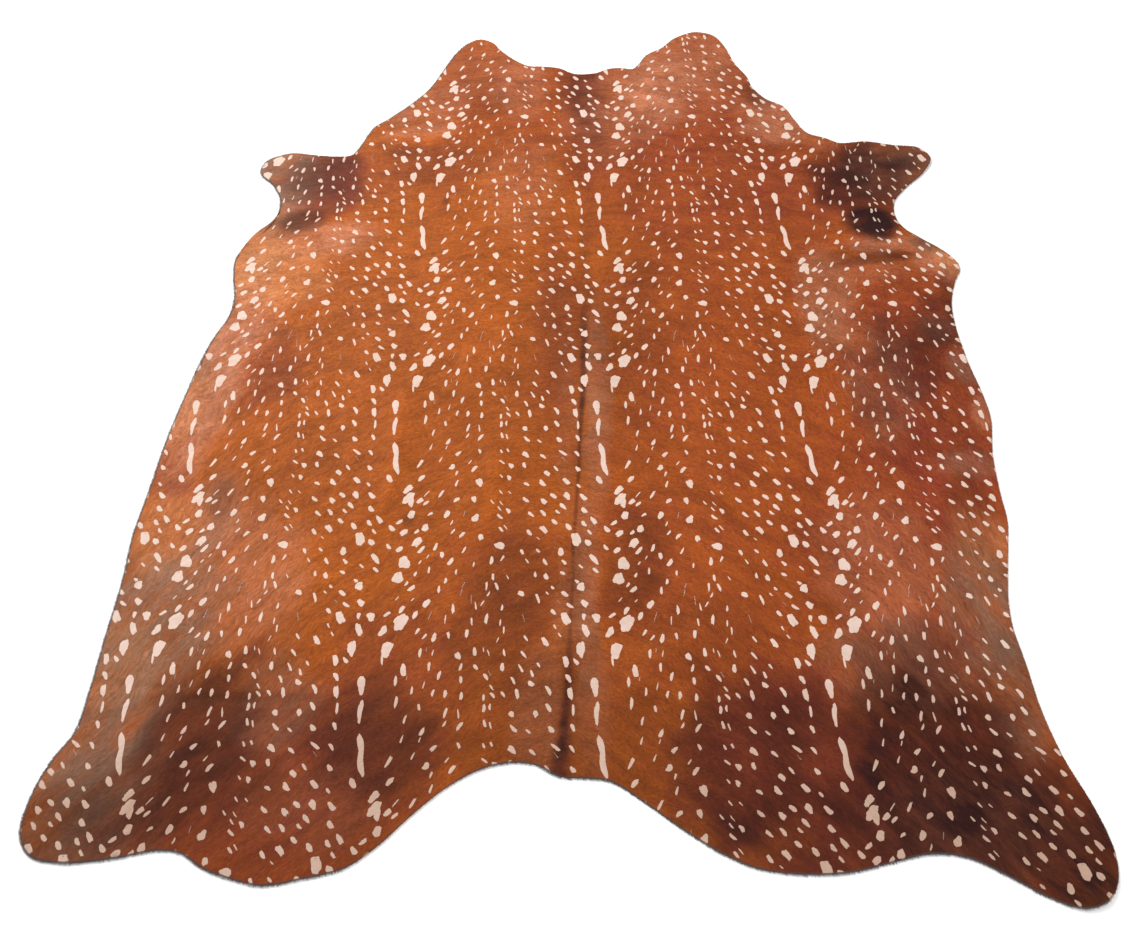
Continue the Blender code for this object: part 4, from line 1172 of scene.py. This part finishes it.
def suede_material():
    """The flesh side: tan suede with cloudy stains, a fine nap and pores, and a paler fibrous cut edge."""
    colours = bpy.context.scene.cowhide_colours
    material, steps, shader = new_material("suede")
    place, fibres = steps.place(), opaque(colours.cut_edge)
    clouds = steps.noise(place, scale=4.5, detail=4.0, roughness=0.6, distortion=0.4)
    nap = steps.noise(place, scale=620.0, detail=3.0, roughness=0.7)
    scrapes = steps.noise(steps.stretched(place, 9, 90), detail=3.0, roughness=0.6, distortion=0.6)
    clouds = steps.between(clouds, 0.30, 0.70)
    colour = steps.mix(clouds, opaque(colours.suede), opaque(colours.suede_stain))
    colour = steps.mix(steps.between(scrapes, 0.52, 0.75, 0.0, 0.45), colour, fibres)
    colour = steps.mix(steps.attribute("cut_edge"), colour, fibres)
    colour = steps.shaded(colour, steps.between(nap, 0.30, 0.70, 0.82, 1.10))
    height = steps.plus(steps.times(nap, NAP_RELIEF), steps.times(scrapes, SCRAPE_RELIEF))
    roughness = steps.between(nap, 0.30, 0.70, 0.96, 0.84)
    settings = {"Base Color": colour, "Roughness": roughness, "Normal": steps.bump(height)}
    settings |= {"Specular IOR Level": 0.20, "Sheen Weight": 0.30, "Sheen Roughness": 0.60}
    steps.connect(shader, settings)
    return material


def floor_material():
    """Pale matte paper, with a very faint unevenness."""
    material, steps, shader = new_material("pale_floor")
    faint = steps.between(steps.noise(steps.place(), scale=1.5), 0.3, 0.7)
    colour = steps.mix(faint, (0.90, 0.90, 0.90, 1.0), (0.92, 0.92, 0.91, 1.0))
    steps.connect(shader, {"Base Color": colour, "Roughness": 0.9, "Specular IOR Level": 0.1})
    return material


def length_property(name, description, value, least, most):
    """A length in metres that the user can set."""
    return FloatProperty(
        name=name, description=description, default=value, min=least, max=most, precision=5, unit="LENGTH"
    )


def colour_property(name, description, value):
    """A colour that the user can set."""
    return FloatVectorProperty(
        name=name, description=description, default=value, size=3, subtype="COLOR", min=0.0, max=1.0
    )


class CowhideSizes(bpy.types.PropertyGroup):
    """The pile and the locks over the cut edge"""

    unevenness: length_property(
        "Unevenness", "How far the pile's top wanders up and down over a few centimetres", 0.0002, 0.0, 0.0006
    )
    locks: IntProperty(
        name="Locks", description="Number of locks over the cut edge", default=16000, min=100, max=20000
    )


class CowhidePrint(bpy.types.PropertyGroup):
    """The print's repeat and how its spots end"""

    repeat_width: length_property("Repeat Width", "Width of one repeat of the print", 0.45, 0.1, 2.0)
    repeat_length: length_property("Repeat Length", "Length of one repeat of the print", 0.6298, 0.1, 2.0)
    soft_edge: length_property(
        "Soft Edge", "How far the mixed hairs at a spot's rim reach to each side of it", 0.0009, 0.0001, 0.002
    )
    creep: length_property("Creep", "How far the brown hair closes in over a spot's rim", 0.0010, 0.0, 0.002)
    rim_gap: length_property("Rim Gap", "How far inside the hide's rim the print stops", 0.0022, 0.0, 0.01)
    lift: length_property("Lift", "How far the bleached hair stands over the brown", 0.0003, 0.0001, 0.001)


class CowhideColours(bpy.types.PropertyGroup):
    """The colours of the hair, the print and the leather, and the slate of the painted shadow along the rim
    """

    ground: colour_property("Ground", "Golden brown of most of the coat", (0.330, 0.074, 0.0078))
    rust: colour_property("Rust", "Redder brown of the right side and the neck", (0.198, 0.033, 0.0165))
    dark: colour_property("Dark", "Nearly black brown of the legs", (0.0200, 0.0048, 0.0057))
    spine: colour_property("Spine", "Maroon of the line along the spine", (0.038, 0.0065, 0.0085))
    pale: colour_property("Pale", "Light pinkish brown of the elbows and the neck", (0.420, 0.155, 0.082))
    grey: colour_property("Grey", "Greyish tan in front of the hind legs", (0.205, 0.100, 0.062))
    golden: colour_property("Golden", "Light golden brown of the elbows", (0.520, 0.190, 0.068))
    # The slate of the painted shadow along the rim.
    rim: colour_property("Rim", "Slate of the hair's tips along the cut edge", (0.045, 0.050, 0.058))
    print_light: colour_property("Print", "Cream of the bleached hair", (0.650, 0.490, 0.415))
    # Print past the loin mixes towards this as painted shade; over dark hair it is the print's own duller
    # tone.
    print_dulled_and_shaded: colour_property("Dulled Print", "Pinkish tan of print on dark hair", (0.420, 0.275, 0.205))
    suede: colour_property("Suede", "Tan of the flesh side", (0.440, 0.285, 0.165))
    suede_stain: colour_property("Suede Stain", "Darker clouds on the flesh side", (0.310, 0.185, 0.100))
    cut_edge: colour_property("Cut Edge", "Pale fibres of the cut leather", (0.560, 0.410, 0.270))


class CowhideStage(bpy.types.PropertyGroup):
    """The light and the floor"""

    key_power: FloatProperty(
        name="Key Light", description="Power of the large soft light", default=250.0, min=0.0, unit="POWER"
    )
    sky: FloatProperty(
        name="Sky", description="Strength of the even white light all round", default=0.55, min=0.0
    )
    floor_size: length_property("Floor", "Width of the square floor", 24.0, 4.0, 100.0)


class COWHIDE_OT_coat(bpy.types.Operator):
    """Lay the coat of hair on the sheet"""

    bl_idname = "cowhide.coat"
    bl_label = "Hair Coat"

    def execute(self, context):
        hide = hide_shape()
        points, faces, plan, attributes = skin(hide, COAT_EDGE, 1.0, coat_attributes)
        rings = len(hide.rim) * (len(COAT_EDGE) - 1)
        # Painted shadow: the rim's rings take slate, most where the rim faces left and down.
        attributes["cut_edge"][-rings:] *= np.tile(rim_shadow(hide.outward), len(COAT_EDGE) - 1)
        material = hair_material("brown_hair", printed=False)
        coat = make_piece("hair_coat", points, faces, plan, attributes, material)
        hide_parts("hide")
        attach(coat, "root")
        return {"FINISHED"}


class COWHIDE_OT_flesh_side(bpy.types.Operator):
    """Line the sheet with its suede flesh side and the cut leather of its edge"""

    bl_idname = "cowhide.flesh_side"
    bl_label = "Flesh Side"

    def execute(self, context):
        points, faces, plan, attributes = skin(hide_shape(), FLESH_EDGE, 0.0, lambda flat: {})
        faces = [group[:, ::-1] for group in faces]
        flesh = make_piece("flesh_side", points, faces, plan, attributes, suede_material())
        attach(flesh, "root")
        return {"FINISHED"}


class COWHIDE_OT_print(bpy.types.Operator):
    """Print the repeat of pale spots on the coat"""

    bl_idname = "cowhide.print"
    bl_label = "Printed Spots"

    def execute(self, context):
        flat, faces, share = print_pieces(hide_shape())
        lift = context.scene.cowhide_print.lift
        points = np.column_stack([flat, coat_height(flat) + lift * (EDGE_LIFT + (1 - EDGE_LIFT) * share)])
        material = hair_material("pale_print", printed=True)
        attributes = print_attributes(flat, share) | {"cut_edge": np.zeros(len(flat))}
        spots = make_piece("printed_spots", points, faces, flat, attributes, material)
        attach(spots, "root")
        return {"FINISHED"}


class COWHIDE_OT_fringe(bpy.types.Operator):
    """Let locks of hair lie out over the cut edge"""

    bl_idname = "cowhide.fringe"
    bl_label = "Edge Locks"

    def execute(self, context):
        points, faces, flat, attributes = fringe_locks(hide_shape(), context.scene.cowhide_sizes.locks)
        material = hair_material("edge_hair", printed=True)
        locks = make_piece("edge_locks", points, faces, flat, attributes, material)
        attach(locks, "root")
        return {"FINISHED"}


def stage_camera():
    """The photograph's view: its axis goes down by the pitch and right by the yaw, and rolls about itself."""
    pitch, yaw, roll = radians(PITCH), radians(YAW), radians(ROLL)
    ahead = Vector((cos(pitch) * sin(yaw), cos(pitch) * cos(yaw), -sin(pitch)))
    level = Vector((cos(yaw), -sin(yaw), 0.0))
    down = ahead.cross(level)
    right = cos(roll) * level + sin(roll) * down
    up = -ahead.cross(right)
    data = bpy.data.cameras.new("photo_camera")
    data.sensor_width = 36.0
    data.lens = data.sensor_width * FOCAL_PIXELS / PHOTO_WIDTH
    data.shift_x = 0.5 - AXIS_X / PHOTO_WIDTH
    data.clip_end = 60.0
    camera = bpy.data.objects.new("photo_camera", data)
    camera.matrix_world = Matrix.Translation(EYE) @ Matrix((right, up, -ahead)).transposed().to_4x4()
    bpy.context.scene.collection.objects.link(camera)
    bpy.context.scene.camera = camera


def soft_light(name, place, target, size, power, colour):
    """A round light that looks from its place at the target."""
    data = bpy.data.lights.new(name, "AREA")
    data.shape, data.size, data.energy, data.color = "DISK", size, power, colour
    light = bpy.data.objects.new(name, data)
    light.location = place
    light.rotation_euler = (Vector(target) - Vector(place)).to_track_quat("-Z", "Y").to_euler()
    bpy.context.scene.collection.objects.link(light)


def make_floor(size):
    """A square floor just under the hide."""
    half = size / 2
    mesh = bpy.data.meshes.new("floor")
    corners = [(x * half, y * half, -FLOOR_DROP) for x, y in ((-1, -1), (1, -1), (1, 1), (-1, 1))]
    mesh.from_pydata(corners, [], [(0, 1, 2, 3)])
    mesh.materials.append(floor_material())
    floor = bpy.data.objects.new("floor", mesh)
    bpy.context.scene.collection.objects.link(floor)
    return floor


class COWHIDE_OT_stage(bpy.types.Operator):
    """Set the pale floor, the soft lights and the camera"""

    bl_idname = "cowhide.stage"
    bl_label = "Stage"

    def execute(self, context):
        settings = context.scene.cowhide_stage
        floor = make_floor(settings.floor_size)
        floor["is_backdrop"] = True
        for name, (place, target, size, power, colour) in LIGHTS.items():
            soft_light(name, place, target, size, power * settings.key_power, colour)
        world = bpy.data.worlds.new("studio")
        world.use_nodes = True
        background = world.node_tree.nodes["Background"]
        background.inputs["Color"].default_value = (1.0, 1.0, 1.0, 1.0)
        background.inputs["Strength"].default_value = settings.sky
        context.scene.world = world
        context.scene.view_settings.view_transform = "Standard"
        stage_camera()
        return {"FINISHED"}


class COWHIDE_PT_panel(bpy.types.Panel):
    """The rug's pieces and their sizes and colours"""

    bl_idname = "COWHIDE_PT_panel"
    bl_label = "Cowhide Rug"
    bl_space_type = "VIEW_3D"
    bl_region_type = "UI"
    bl_category = "Cowhide"

    def draw(self, context):
        for name in SETTINGS:
            settings, box = getattr(context.scene, name), self.layout.box()
            for key in settings.__annotations__:
                box.prop(settings, key)
        for operator in OPERATORS:
            self.layout.operator(operator.bl_idname)


OPERATORS = (COWHIDE_OT_coat, COWHIDE_OT_flesh_side, COWHIDE_OT_print, COWHIDE_OT_fringe, COWHIDE_OT_stage)
SETTINGS = {
    "cowhide_sizes": CowhideSizes,
    "cowhide_print": CowhidePrint,
    "cowhide_colours": CowhideColours,
    "cowhide_stage": CowhideStage,
}


def register():
    for kind in (*SETTINGS.values(), *OPERATORS, COWHIDE_PT_panel):
        bpy.utils.register_class(kind)
    for name, kind in SETTINGS.items():
        setattr(bpy.types.Scene, name, PointerProperty(type=kind))


def unregister():
    for name in SETTINGS:
        delattr(bpy.types.Scene, name)
    for kind in (COWHIDE_PT_panel, *reversed(OPERATORS), *SETTINGS.values()):
        bpy.utils.unregister_class(kind)


def main():
    register()
    bpy.ops.cowhide.coat()
    bpy.ops.cowhide.flesh_side()
    bpy.ops.cowhide.print()
    bpy.ops.cowhide.fringe()
    bpy.ops.cowhide.stage()
    boxes = {"cad": CAD_BOX, "visual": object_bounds()}
    boxes = {name: [list(corner) for corner in box] for name, box in boxes.items()}


if __name__ == "__main__":
    main()
